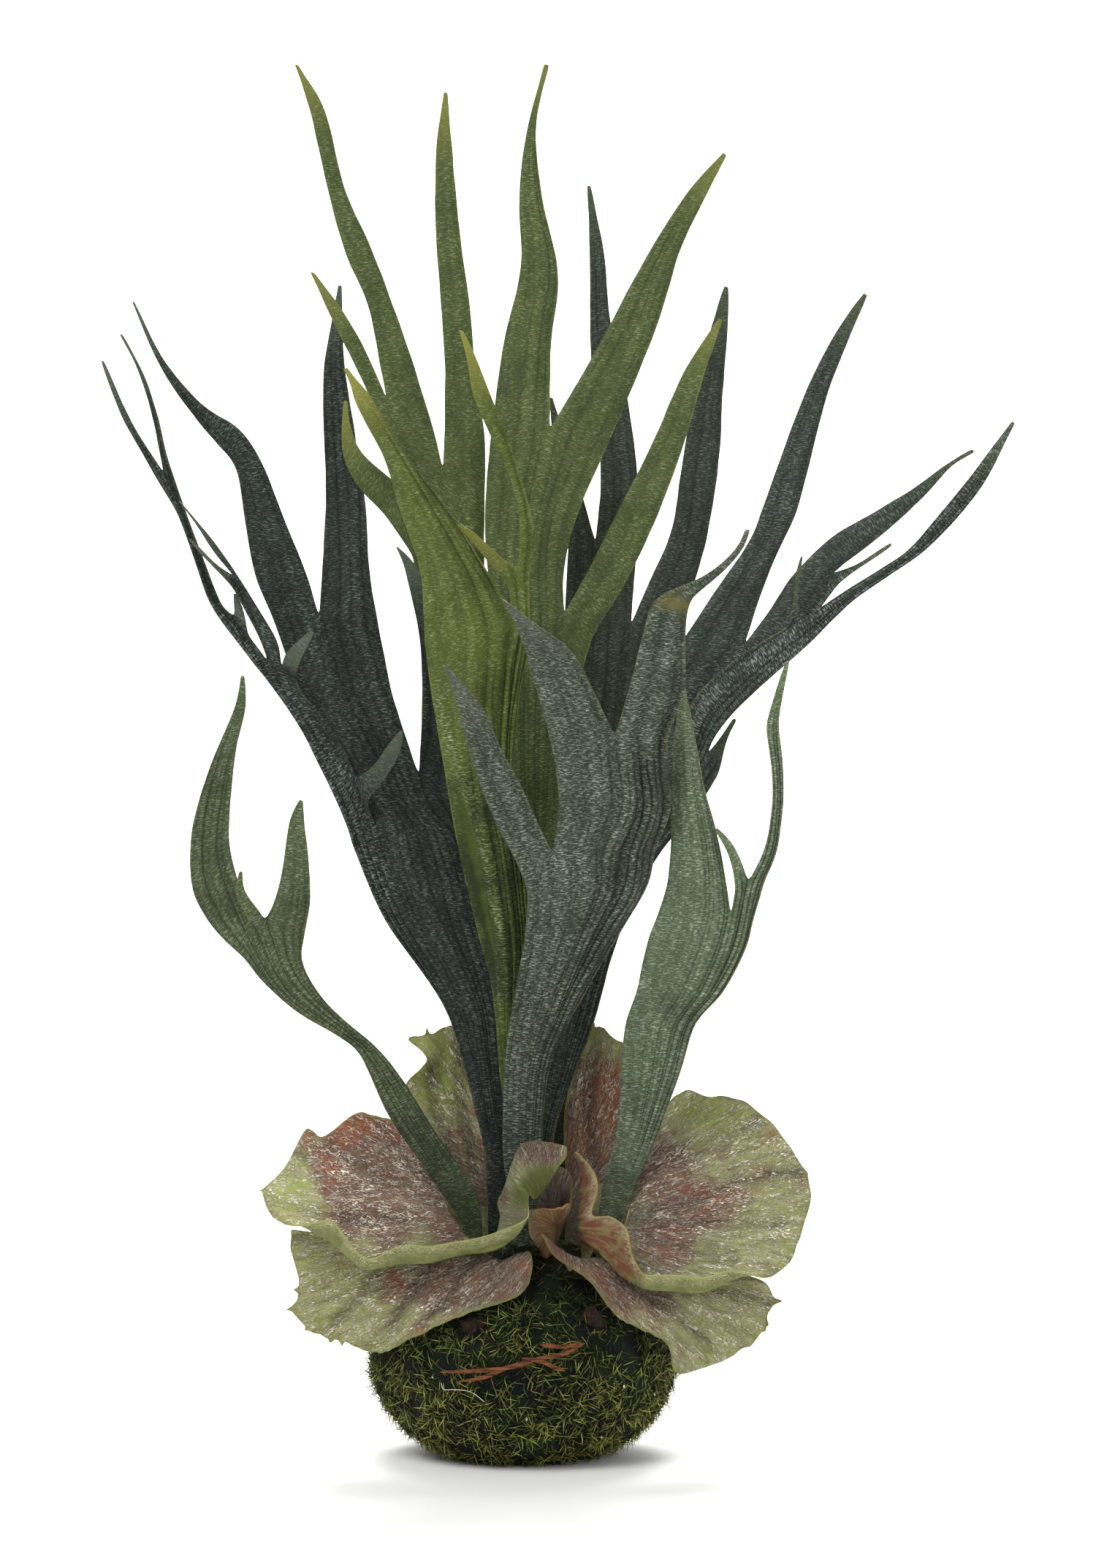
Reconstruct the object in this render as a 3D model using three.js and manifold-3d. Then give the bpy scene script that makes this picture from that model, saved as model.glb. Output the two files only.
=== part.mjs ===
// Staghorn fern on a moss ball: nine antler fronds stand in holes in the top of the ball,
// seven shield fronds clasp its shoulders, and dry needles lie on its front.
// Millimetres, +Z up, the front faces -Y. The origin is the centre of the flat spot it rests on.

import * as THREE from 'three';
import Module from 'manifold-3d';

const wasm = await Module();
wasm.setup();

// Driving dimensions of the moss ball
const BALL = { z: 34, halfWidth: 53, halfDepth: 51, halfHeight: 40 };
const BALL_RINGS = 18;
const BALL_SPOKES = 40;
const TUFT_HEIGHT = 1.1;

// Driving dimensions of the fronds and shields
const BLADE_THICKNESS = 0.8;
const STALK_THICKNESS = 3;
const STALK_TOP = 165;
const STALK_FOOT = 88;
const SHIELD_THICKNESS = 1;
const FIT = 0.35;
const ROW_SPACING = 13;
const LEAN_FOOT = 80;
const LEAN_UNIT = 100;

// Driving dimensions of the dry needles
const NEEDLE_RADIUS = 0.75;
const NEEDLE_SIDES = 5;

// Outlines are measured on a front view from an eye point 1.4 m in front of the plant, with x from
// the middle of the fronds, which stand a little to the right of the ball's centre. A point at
// another depth is moved along its line of sight, so that the front view keeps its shape.
const FROND_MIDDLE = 5.5;
const EYE = { x: 8, y: -1400, z: 229 };

function fromFront(x, z, depth) {
  const grow = 1 - depth / EYE.y;
  const side = x + FROND_MIDDLE - EYE.x;
  return new THREE.Vector3(EYE.x + side * grow, depth, EYE.z + (z - EYE.z) * grow);
}

// Height of the low tufts that cover the ball, by direction from its centre
function tuft(around, up) {
  const broad = Math.sin(5 * around + 2.2 * Math.sin(3 * up));
  const fine = Math.sin(13 * around + 1.3) * Math.sin(9 * up + 0.7);
  return TUFT_HEIGHT * (0.45 * broad + 0.55 * fine) * Math.cos(up) ** 2;
}

function ballPoint(around, up) {
  const swell = 1 + tuft(around, up) / BALL.halfWidth;
  return new THREE.Vector3(
    BALL.halfWidth * swell * Math.cos(up) * Math.cos(around),
    BALL.halfDepth * swell * Math.cos(up) * Math.sin(around),
    Math.max(0, BALL.z + BALL.halfHeight * swell * Math.sin(up)),
  );
}

// How far a point is from the centre of the ball, as a share of the ball's own reach that way
function ballShare(point) {
  const side = point.x / BALL.halfWidth;
  const back = point.y / BALL.halfDepth;
  const rise = (point.z - BALL.z) / BALL.halfHeight;
  const reach = Math.hypot(side, back, rise);
  const swell = 1 + tuft(Math.atan2(back, side), Math.asin(rise / reach)) / BALL.halfWidth;
  return reach / swell;
}

// A point on the front of the ball, as seen in the front view, lifted off it by a clearance
function onBall(x, z, lift) {
  const share = 1 + lift / BALL.halfWidth;
  let depth = -90;
  while (depth < 0 && ballShare(fromFront(x, z, depth)) > share) depth += 0.25;
  return fromFront(x, z, depth);
}

// A point just above the top of the ball, where a shield is rooted
function onCrown(x, y, lift = 0.5) {
  const point = new THREE.Vector3(x + FROND_MIDDLE, y, BALL.z + BALL.halfHeight * 1.2);
  const share = 1 + lift / BALL.halfHeight;
  while (ballShare(point) > share) point.z -= 0.1;
  return point;
}

// Curves through hand-placed points

function between(points, share) {
  const span = points.length - 1;
  const at = Math.min(share * span, span - 1e-9);
  const index = Math.floor(at);
  const t = at - index;
  const b = points[index];
  const c = points[index + 1];
  const a = points[index - 1] ?? b.clone().multiplyScalar(2).sub(c);
  const d = points[index + 2] ?? c.clone().multiplyScalar(2).sub(b);
  const value = (name) => {
    const bend = 2 * a[name] - 5 * b[name] + 4 * c[name] - d[name];
    const twist = 3 * b[name] - a[name] - 3 * c[name] + d[name];
    return b[name] + 0.5 * t * (c[name] - a[name] + t * (bend + t * twist));
  };
  return new THREE.Vector3(value('x'), value('y'), value('z'));
}

// Thin sheets and the closed solids made from them

class Sheet {
  constructor() {
    this.points = [];
    this.faces = [];
  }

  addRow(points) {
    return points.map((point) => this.points.push(point) - 1);
  }

  bridge(low, high) {
    for (let i = 0; i + 1 < low.length; i += 1) {
      this.faces.push([low[i], low[i + 1], high[i + 1]], [low[i], high[i + 1], high[i]]);
    }
  }

  // Both faces are split into the same triangles, and the open edges are walled in.
  thicken(thicknessAt) {
    const normals = this.points.map(() => new THREE.Vector3());
    for (const [a, b, c] of this.faces) {
      const ab = this.points[b].clone().sub(this.points[a]);
      const ac = this.points[c].clone().sub(this.points[a]);
      const normal = ab.cross(ac);
      for (const corner of [a, b, c]) normals[corner].add(normal);
    }
    const count = this.points.length;
    const vertices = [];
    for (const side of [0.5, -0.5]) {
      this.points.forEach((point, i) => {
        const step = normals[i].clone().setLength(side * thicknessAt(point));
        vertices.push(point.clone().add(step));
      });
    }
    const faces = [];
    const open = new Map();
    for (const [a, b, c] of this.faces) {
      faces.push([a, b, c], [c + count, b + count, a + count]);
      for (const [from, to] of [[a, b], [b, c], [c, a]]) {
        if (!open.delete(`${to},${from}`)) open.set(`${from},${to}`, [from, to]);
      }
    }
    for (const [from, to] of open.values()) {
      faces.push([to, from, from + count], [to, from + count, to + count]);
    }
    return solid(vertices, faces);
  }
}

function solid(vertices, faces) {
  const geometry = new THREE.BufferGeometry();
  const flat = vertices.flatMap((vertex) => [vertex.x, vertex.y, vertex.z]);
  geometry.setAttribute('position', new THREE.Float32BufferAttribute(flat, 3));
  geometry.setIndex(faces.flat());
  return geometry;
}

function toManifold(geometry) {
  return new wasm.Manifold(new wasm.Mesh({
    numProp: 3,
    vertProperties: new Float32Array(geometry.attributes.position.array),
    triVerts: new Uint32Array(geometry.index.array),
  }));
}

function fromManifold(shape) {
  const mesh = shape.getMesh();
  const geometry = new THREE.BufferGeometry();
  geometry.setAttribute('position', new THREE.Float32BufferAttribute(mesh.vertProperties, 3));
  geometry.setIndex([...mesh.triVerts]);
  return geometry;
}

// Antler fronds
//
// A branch is a run of cross lines, each [left x, left z, right x, right z, depth, turn, cup] in the
// front view: turn is how much deeper the right edge lies than the left, and cup how far the middle
// stands forward. ribs is the number of strips across. At its end a branch may fork: notches are the
// points between its forks, and their ribs add up to its own. lean bends the whole frond backward,
// in mm at LEAN_UNIT above the crown and four times that at twice the height.

function leanAt(z, lean) {
  return lean * (Math.max(0, z - LEAN_FOOT) / LEAN_UNIT) ** 2;
}

function crossLine(row, shares, { lean, crease }) {
  const [leftX, leftZ, rightX, rightZ, depth, turn = 0, cup = 0] = row;
  return shares.map((share) => {
    const centred = 2 * share - 1;
    const bulge = crease ? 1 - Math.abs(centred) : 1 - centred * centred;
    const x = leftX + (rightX - leftX) * share;
    const z = leftZ + (rightZ - leftZ) * share;
    return fromFront(x, z, depth + turn * (share - 0.5) - cup * bulge + leanAt(z, lean));
  });
}

function evenShares(from, to, count) {
  return Array.from({ length: count }, (_, i) => from + ((to - from) * i) / count);
}

// Where each strip's edge lies across a branch, so that strips run on into its forks
function ribShares(branch) {
  if (!branch.forks) return [...evenShares(0, 1, branch.ribs), 1];
  const [leftX, leftZ, rightX, rightZ] = branch.rows.at(-1);
  const chord = new THREE.Vector2(rightX - leftX, rightZ - leftZ);
  const cuts = branch.notches.map(([x, z]) => {
    const reach = new THREE.Vector2(x - leftX, z - leftZ);
    return reach.dot(chord) / chord.lengthSq();
  });
  const stops = [0, ...cuts, 1];
  return [...branch.forks.flatMap((fork, i) => evenShares(stops[i], stops[i + 1], fork.ribs)), 1];
}

// The last cross line of a forking branch, pulled up to the notches between its forks
function forkLine(branch, shares, lean) {
  const { crease } = branch;
  const line = crossLine(branch.rows.at(-1), shares, { lean, crease });
  const [leftX, leftZ, rightX, rightZ] = branch.rows.at(-1);
  const corners = [[leftX, leftZ], ...branch.notches, [rightX, rightZ]];
  let rib = 0;
  branch.forks.forEach((fork, i) => {
    for (let step = 0; step <= fork.ribs; step += 1) {
      const t = step / fork.ribs;
      const x = corners[i][0] + (corners[i + 1][0] - corners[i][0]) * t;
      const z = corners[i][1] + (corners[i + 1][1] - corners[i][1]) * t;
      line[rib + step] = fromFront(x, z, line[rib + step].y);
    }
    rib += fork.ribs;
  });
  return line;
}

function grow(sheet, branch, lean, start) {
  const { crease } = branch;
  const shares = ribShares(branch);
  const lines = branch.rows.map((row) => crossLine(row, shares, { lean, crease }));
  if (branch.forks) lines[lines.length - 1] = forkLine(branch, shares, lean);
  let last = start?.indices ?? sheet.addRow(lines[0]);
  if (start) lines.unshift(start.line);
  for (let i = 0; i + 1 < lines.length; i += 1) {
    const middle = Math.floor(lines[i].length / 2);
    const length = lines[i][middle].distanceTo(lines[i + 1][middle]);
    const steps = Math.max(1, Math.round(length / ROW_SPACING));
    for (let step = 1; step <= steps; step += 1) {
      const share = (i + step / steps) / (lines.length - 1);
      const row = shares.map((_, rib) => between(lines.map((line) => line[rib]), share));
      const indices = sheet.addRow(row);
      sheet.bridge(last, indices);
      last = indices;
    }
  }
  let rib = 0;
  for (const fork of branch.forks ?? []) {
    const own = [rib, rib + fork.ribs + 1];
    grow(sheet, fork, lean, { line: lines.at(-1).slice(...own), indices: last.slice(...own) });
    rib += fork.ribs;
  }
}

function stalkThickness(point) {
  const share = THREE.MathUtils.smoothstep(point.z, STALK_FOOT, STALK_TOP);
  return STALK_THICKNESS + (BLADE_THICKNESS - STALK_THICKNESS) * share;
}

function frond(branch) {
  const sheet = new Sheet();
  grow(sheet, branch, branch.lean);
  return sheet.thicken(stalkThickness);
}

// The plain hole in the ball that a frond's stalk stands in
function stalkHole(branch) {
  const [left, right] = crossLine(branch.rows[0], [0, 1], { lean: 0 });
  const width = right.x - left.x + 2 * FIT;
  const depth = STALK_THICKNESS + 2 * FIT;
  const floor = left.z - FIT;
  const height = BALL.z + 2 * BALL.halfHeight - floor;
  const box = new THREE.BoxGeometry(width, depth, height);
  box.translate((left.x + right.x) / 2, left.y, floor + height / 2);
  return box;
}

const FRONDS = {
  frond_front: {
    colour: 0x4f6656,
    lean: -7,
    ribs: 6,
    rows: [
      [-9.5, 60, -1.5, 60, -9],
      [-9.5, 78, -1.5, 78, -9],
      [-12.3, 100, 0.2, 100, -10, 0, 1],
      [-12.3, 118, 1, 117, -11, 0, 2],
      [-12, 135, 3.2, 134, -12, 0, 3],
      [-10.3, 149.5, 10.8, 150.5, -14, 1, 4],
      [-7.4, 164, 17.5, 163, -16, 2, 4],
      [-5, 179, 26.5, 178, -18, 3, 4],
      [-4.6, 192, 36, 193, -20, 4, 5],
      [-8.5, 203, 39, 206, -21, 4, 5],
    ],
    notches: [[4.2, 205]],
    forks: [
      {
        ribs: 2,
        rows: [
          [-14, 213, -0.8, 214.5, -25, 0, 2],
          [-20, 227, -6.7, 228, -27, 0, 2],
          [-25, 242, -13, 240, -28, 0, 1],
          [-29.2, 258, -20.5, 256, -30],
          [-33.4, 269.8, -31.8, 269.2, -31],
        ],
      },
      {
        ribs: 4,
        rows: [
          [6.4, 220, 44.4, 220, -22, 4, 4],
          [5.4, 234, 43.6, 233, -23, 3, 3],
          [3, 245, 43, 245.5, -24, 2, 3],
        ],
        notches: [[25.4, 245]],
        forks: [
          {
            ribs: 2,
            rows: [
              [-1.7, 262, 18.4, 260.5, -26, 0, 2],
              [-5.6, 276, 10.5, 274.5, -28, 0, 1],
              [-9.6, 285.5, -1.5, 283.5, -30],
              [-13.6, 292.6, -12, 291.6, -31],
            ],
          },
          {
            ribs: 2,
            rows: [
              [30.4, 262, 49, 261, -25, 0, 2],
              [34.6, 278, 49.4, 277, -26, 0, 1],
              [39.3, 292.5, 50.6, 290, -27, 0, 1],
              [50.6, 297.6, 54, 294.6, -28],
              [60.6, 303.2, 62.2, 301.4, -28],
              [68, 311, 69.8, 310, -28],
              [70, 316, 71.6, 316, -27],
            ],
          },
        ],
      },
    ],
  },

  frond_yellow_green: {
    colour: 0x7f9638,
    lean: -3.5,
    ribs: 6,
    crease: true,
    rows: [
      [-8, 60, -1, 60, -2.5],
      [-8, 78, -1, 78, -2.5],
      [-9.5, 100, -2.5, 100, -3],
      [-13.2, 125, -6, 125, -4.5, 0, 1],
      [-15, 145, -7, 145, -7, 0, 1],
      [-16.6, 160, -5, 160, -8.5, 0, 2],
      [-21, 176, -3, 176, -9, 0, 3],
      [-27, 202, -5, 202, -10, 0, 4],
      [-32, 229, -9, 229, -11, 0, 5],
      [-37, 258, -7.5, 258, -12, 0, 6],
      [-39.8, 277, -4.4, 272, -12, 0, 6],
    ],
    notches: [[-8.8, 284]],
    forks: [
      {
        ribs: 4,
        crease: true,
        rows: [
          [-41, 301, -18, 301, -14, 0, 5],
          [-48, 323, -32.5, 323.5, -16, 0, 4],
          [-53, 339.5, -44.2, 339, -17, 0, 3],
          [-60.5, 354, -54.2, 354.5, -17, 0, 2],
          [-64, 361.4, -59, 363, -16.4, 0, 1],
          [-65, 366, -62.6, 366.8, -16],
          [-67.4, 371, -66.2, 371.4, -15],
        ],
      },
      {
        ribs: 2,
        rows: [
          [-9.6, 289, -3.8, 287, -9],
          [-11.6, 298.6, -4, 299, -6],
        ],
        notches: [[-7.8, 302.6]],
        forks: [
          {
            ribs: 1,
            rows: [
              [-17.5, 304.4, -13.6, 306.4, -4],
              [-24, 312.2, -20.8, 313.6, -3],
              [-28.4, 317.6, -27.6, 318.4, -3],
            ],
          },
          {
            ribs: 1,
            rows: [
              [-7, 315, -2.2, 315, -2],
              [-9, 330, -6, 331, -1],
              [-17, 348, -11.8, 349, 0],
              [-23, 362, -16.8, 361, 0],
              [-25, 374, -21.6, 373.5, 0],
              [-27.8, 384.2, -26.4, 383.8, 0],
            ],
          },
        ],
      },
    ],
  },

  frond_left: {
    colour: 0x384a40,
    lean: 2.5,
    ribs: 12,
    rows: [
      [-18, 60, -10.5, 60, 0],
      [-18, 78, -10.5, 78, 0],
      [-18.2, 102, -10.6, 102, 0, 0, 1],
      [-21.4, 118, -12, 119, 0.5, 0, 2],
      [-26.4, 136, -12.2, 136, 2, 0, 3],
      [-32, 151.5, -12, 150, 4, 1, 4],
      [-41, 166, -14, 164, 5, 1, 4],
      [-54, 184.5, -17.5, 182, 5, 1, 4],
      [-62.5, 204, -22, 203, 5, 1, 4],
      [-65.6, 213, -24.5, 213, 5, 1, 3],
    ],
    notches: [[-57, 216]],
    forks: [
      {
        ribs: 7,
        rows: [
          [-69, 221.5, -61.6, 223.2, -2],
        ],
        notches: [[-63.2, 230.6]],
        forks: [
          {
            ribs: 6,
            rows: [
              [-76, 236, -66.8, 240, -5],
              [-82.5, 248.8, -73.6, 250.6, -6],
              [-92, 262.6, -81.6, 260, -6],
              [-97.6, 269.6, -84, 266.2, -6],
            ],
            notches: [[-93.4, 271], [-88.6, 268.8]],
            forks: [
              {
                ribs: 3,
                rows: [
                  [-107.4, 282.4, -100.2, 280.4, -7],
                ],
                notches: [[-104.8, 286.4]],
                forks: [
                  {
                    ribs: 2,
                    rows: [
                      [-113.2, 291, -109.2, 290.4, -8],
                      [-119.4, 309, -115.4, 306, -9],
                      [-124.4, 322, -120.8, 320.6, -10],
                      [-130.6, 332.2, -124.8, 331.8, -10],
                    ],
                    notches: [[-129, 335.4]],
                    forks: [
                      {
                        ribs: 1,
                        rows: [
                          [-134.6, 339.4, -132.6, 340.8, -9],
                          [-142, 352, -140.2, 353.2, -9],
                          [-146.6, 362.6, -144.8, 363.4, -10],
                          [-150.4, 373.6, -149.6, 374, -11],
                        ],
                      },
                      {
                        ribs: 1,
                        rows: [
                          [-130.6, 343.4, -128.2, 342, -12],
                          [-133.2, 356, -131, 354.6, -12],
                          [-138, 371, -136, 369.6, -12],
                          [-144.2, 383, -143, 382.8, -13],
                        ],
                      },
                    ],
                  },
                  {
                    ribs: 1,
                    rows: [
                      [-104.9, 289.4, -101.8, 289.2, -10],
                      [-105.2, 294.2, -104.2, 294.2, -11],
                    ],
                  },
                ],
              },
              {
                ribs: 2,
                rows: [
                  [-97, 281, -90.4, 278.6, -11],
                  [-105.6, 296.6, -100, 294, -15],
                ],
                notches: [[-103.6, 299]],
                forks: [
                  {
                    ribs: 1,
                    rows: [
                      [-113, 304, -112, 305.2, -20],
                      [-120.4, 312.4, -119.6, 313.2, -21],
                    ],
                  },
                  {
                    ribs: 1,
                    rows: [
                      [-111.6, 308, -108, 306.8, -16],
                      [-117.6, 317.4, -115.4, 316.4, -17],
                      [-124, 326, -122.8, 325, -18],
                    ],
                  },
                ],
              },
              {
                ribs: 1,
                rows: [
                  [-87.6, 273, -83, 269.6, -14],
                  [-82.6, 278.6, -80, 275.4, -16],
                  [-78.6, 281.6, -77.4, 280.8, -16],
                ],
              },
            ],
          },
          {
            ribs: 1,
            rows: [
              [-57.4, 235, -51, 234.2, -9],
              [-52.6, 242, -47.4, 242.2, -11],
              [-48.2, 247.4, -47, 247, -12],
            ],
          },
        ],
      },
      {
        ribs: 5,
        rows: [
          [-58.2, 222, -26, 219.6, 5.4, 0, 3],
          [-66, 234, -28, 228, 5, 0, 3],
        ],
        notches: [[-41.7, 231.8]],
        forks: [
          {
            ribs: 4,
            rows: [
              [-76, 256, -50.4, 257, 4, 2, 3],
              [-84.6, 271, -53.2, 272, 4, 2, 3],
              [-91.6, 286, -55.6, 286, 4, 2, 3],
            ],
            notches: [[-75.8, 286]],
            forks: [
              {
                ribs: 2,
                rows: [
                  [-98, 302, -80.7, 302, 2, 0, 2],
                  [-101.6, 321, -88.2, 320.5, 1, 0, 2],
                  [-104.2, 336.5, -95, 338, -1, 0, 1],
                  [-110, 344.6, -103, 350.2, -3, 0, 1],
                  [-118, 354, -115, 358, -5],
                  [-130.5, 372.4, -128.6, 373.6, -8],
                  [-140, 394.2, -138.8, 393.8, -10],
                ],
              },
              {
                ribs: 2,
                rows: [
                  [-74.6, 304, -58.6, 304, 9, 0, 2],
                  [-73.5, 327, -60.2, 327, 18, 0, 2],
                  [-74.2, 350, -64, 351, 23, 0, 1],
                  [-74.1, 371, -67.1, 371, 25, 0, 1],
                  [-71.8, 386, -67.7, 387, 25],
                  [-69.4, 399.6, -68, 399.4, 24],
                ],
              },
            ],
          },
          {
            ribs: 1,
            rows: [
              [-40.6, 254, -31, 254, 4],
              [-41.2, 277, -33.4, 277, 4],
              [-44, 292, -38, 293, 4],
              [-47, 304.4, -42.8, 304, 3],
              [-49.8, 310.4, -48.4, 309.8, 3],
            ],
          },
        ],
      },
    ],
  },

  frond_rear_left: {
    colour: 0x5b7a45,
    lean: 1.2,
    ribs: 6,
    rows: [
      [-16, 60, -9, 60, 9],
      [-16, 78, -9, 78, 9],
      [-16, 110, -9, 110, 11, 0, 1],
      [-17, 150, -9.5, 150, 16, 0, 1],
      [-21, 190, -11.5, 190, 20, 0, 2],
      [-27, 225, -14, 225, 23, 0, 2],
      [-34, 262, -17, 262, 25, 0, 3],
      [-41, 292, -19, 292, 26, 0, 3],
      [-43.6, 307, -19.5, 310, 26, 0, 3],
    ],
    notches: [[-44.6, 326]],
    forks: [
      {
        ribs: 1,
        rows: [
          [-54, 322, -50.4, 333, 25],
          [-62, 330, -57.5, 338.6, 24],
          [-67.6, 341, -62.8, 344.6, 23],
          [-68, 352, -65.4, 353, 23],
          [-67.4, 360.2, -66, 360, 23],
        ],
      },
      {
        ribs: 5,
        rows: [
          [-46.4, 338, -19, 333, 27, 0, 2],
        ],
        notches: [[-33.5, 337]],
        forks: [
          {
            ribs: 3,
            rows: [
              [-52, 350, -36.4, 349.5, 27, 0, 1],
              [-58.6, 362, -40, 361, 27, 0, 1],
            ],
            notches: [[-52.6, 360.4]],
            forks: [
              {
                ribs: 1,
                rows: [
                  [-64, 373, -58.4, 374, 26],
                  [-72.4, 390, -67, 390, 25],
                  [-78.8, 404.2, -77.4, 403.8, 24],
                ],
              },
              {
                ribs: 2,
                rows: [
                  [-54.6, 371.5, -43.5, 372, 27, 0, 1],
                  [-59, 393, -51, 393.6, 27, 0, 1],
                  [-66.8, 411, -57.6, 411.4, 26, 0, 1],
                  [-73, 433, -67.2, 433, 26],
                  [-78.6, 458, -73.6, 459, 25],
                  [-84.2, 475.2, -82.8, 474.8, 25],
                ],
              },
            ],
          },
          {
            ribs: 2,
            rows: [
              [-33, 346, -19.2, 348, 27, 0, 1],
              [-32.5, 370, -22.4, 370, 28, 0, 1],
              [-34, 393, -24.5, 394, 28, 0, 1],
              [-36, 420, -28, 420, 29],
              [-35.8, 446, -30.4, 447, 29],
              [-33.2, 465.6, -31.8, 465.4, 29],
            ],
          },
        ],
      },
    ],
  },

  frond_rear_centre: {
    colour: 0x617f47,
    lean: 2,
    ribs: 6,
    rows: [
      [-6, 60, 1, 60, 10.5],
      [-6, 78, 1, 78, 10.5],
      [-6.5, 110, 1.5, 110, 11, 0, 1],
      [-7, 150, 3, 150, 12, 0, 1],
      [-9, 190, 5, 190, 13, 0, 2],
      [-11, 225, 8, 225, 14, 0, 2],
      [-13.4, 255, 11.4, 256, 15, 0, 3],
      [-16, 283, 17.4, 279, 16, 0, 3],
    ],
    notches: [[8, 287]],
    forks: [
      {
        ribs: 4,
        rows: [
          [-18.2, 303, 8, 302, 16, 0, 3],
          [-19, 322, 12.2, 320, 17, 0, 3],
          [-17.4, 346, 22.4, 344, 17, 0, 3],
        ],
        notches: [[3, 350]],
        forks: [
          {
            ribs: 2,
            rows: [
              [-12.8, 379, 3.6, 379, 18, 0, 2],
              [-6.8, 405, 5.8, 404.5, 19, 0, 1],
              [-7.4, 430, 0.4, 430, 19, 0, 1],
              [-4.4, 454, -1.6, 454, 20],
              [1.2, 475.2, 2.8, 474.8, 20],
            ],
          },
          {
            ribs: 2,
            rows: [
              [12.5, 366, 31.6, 365, 17, 0, 2],
              [25, 388, 40.2, 387, 18, 0, 2],
              [37.5, 411.5, 47.4, 411, 19, 0, 1],
              [51, 432.4, 57, 431, 20],
              [62.4, 445, 63.6, 444, 20],
            ],
          },
        ],
      },
      {
        ribs: 2,
        rows: [
          [17.5, 304.5, 29.4, 298.5, 13, 0, 1],
          [28, 325.5, 40.6, 322.5, 12, 0, 1],
          [38.5, 346, 48.8, 345, 12, 0, 1],
          [49, 370, 56, 369.5, 12],
          [60.8, 388.4, 62.2, 387.6, 12],
        ],
      },
    ],
  },

  frond_dark_rear: {
    colour: 0x3a4745,
    lean: 5,
    ribs: 6,
    rows: [
      [5, 60, 12, 60, 10.5],
      [5, 78, 12, 78, 10.5],
      [4, 110, 12, 110, 16, 0, 1],
      [4.5, 150, 14, 150, 22, 0, 1],
      [6, 190, 20, 190, 28, 0, 2],
      [8, 225, 31, 225, 33, 0, 2],
      [8, 252, 38, 251, 35, 0, 3],
      [8, 276, 45, 277, 36, 0, 3],
    ],
    notches: [[30.8, 283.4]],
    forks: [
      {
        ribs: 4,
        rows: [
          [8.6, 294, 31.8, 295, 36, 0, 2],
          [9.6, 309, 32.9, 309, 36, 0, 2],
        ],
        notches: [[18.8, 311.4]],
        forks: [
          {
            ribs: 2,
            rows: [
              [7.6, 327, 14.6, 326.5, 35],
              [4.4, 345, 9.2, 345, 35],
              [2.8, 361.2, 4.2, 361, 34],
            ],
          },
          {
            ribs: 2,
            rows: [
              [20.6, 335, 33.1, 335, 36, 0, 1],
              [18.4, 360, 29.8, 360, 37, 0, 1],
              [16.9, 384, 24.2, 385, 37],
              [16.8, 410, 21.6, 411, 38],
              [15.8, 433.6, 17.2, 433.4, 38],
            ],
          },
        ],
      },
      {
        ribs: 2,
        rows: [
          [37.6, 299.4, 52.8, 299, 36, 0, 2],
          [44.8, 316, 57.2, 315, 36, 0, 1],
          [48.6, 340, 60.9, 339, 37, 0, 1],
          [53.6, 366, 62.5, 366, 37],
          [59.4, 389, 64.3, 389, 37],
          [62.8, 399.2, 64.2, 398.8, 37],
        ],
      },
    ],
  },

  frond_right: {
    colour: 0x3f4d47,
    lean: 4,
    ribs: 9,
    rows: [
      [-3, 60, 4, 60, 4],
      [-3, 78, 4, 78, 4],
      [-3.6, 107, 4.2, 107.5, 3],
      [0, 127, 10.6, 128, 2, 0, 1],
      [4.6, 147, 18.2, 148, 2, 0, 1],
      [9.6, 168, 24, 169, 3, 0, 2],
      [15, 187, 32, 190, 5, 0, 2],
      [21, 205, 41.6, 206.6, 7, 0, 2],
      [26, 218, 52.4, 219, 9, 0, 2],
      [31, 234, 61, 232.6, 11, 0, 2],
    ],
    notches: [[47, 244], [56.4, 239]],
    forks: [
      {
        ribs: 5,
        rows: [
          [34, 245, 48.6, 250, 14.5, 0, 1],
          [40, 258, 64, 257, 17, 0, 2],
          [47.4, 276, 83.4, 270, 18, 0, 2],
        ],
        notches: [[69.6, 276.6]],
        forks: [
          {
            ribs: 3,
            rows: [
              [59.4, 294.4, 75.4, 294, 18, 0, 2],
              [71, 311, 81.8, 310, 19, 0, 1],
              [76, 323, 87.6, 322, 19, 0, 1],
              [83, 343, 93, 342, 20, 0, 1],
              [91.2, 364.4, 98.4, 363.6, 20],
              [101.6, 384.6, 106.4, 383.4, 21],
              [110.4, 396.8, 111.8, 396.2, 21],
            ],
          },
          {
            ribs: 2,
            rows: [
              [77.4, 287, 91.6, 283.6, 20],
              [85, 299, 101.6, 297.4, 20],
            ],
            notches: [[99.6, 301.2]],
            forks: [
              {
                ribs: 1,
                rows: [
                  [98, 312.4, 105.6, 306, 20],
                  [113, 321.4, 118.2, 315.6, 19],
                  [127.8, 330.2, 131, 327.2, 18],
                  [139.4, 338.9, 140.6, 337.8, 17],
                  [147.6, 343.6, 148.4, 342.4, 17],
                ],
              },
              {
                ribs: 1,
                rows: [
                  [108.4, 304.2, 109.2, 303, 21],
                  [119.6, 311.6, 120.2, 310.4, 21],
                ],
              },
            ],
          },
        ],
      },
      {
        ribs: 3,
        rows: [
          [49.4, 250.4, 58.8, 243.4, 7],
          [54, 260, 63.4, 250.6, 4],
          [68.6, 273, 74.6, 261.6, 1],
          [84.6, 282.6, 91.6, 276.6, -1],
        ],
        notches: [[88, 284]],
        forks: [
          {
            ribs: 1,
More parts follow.
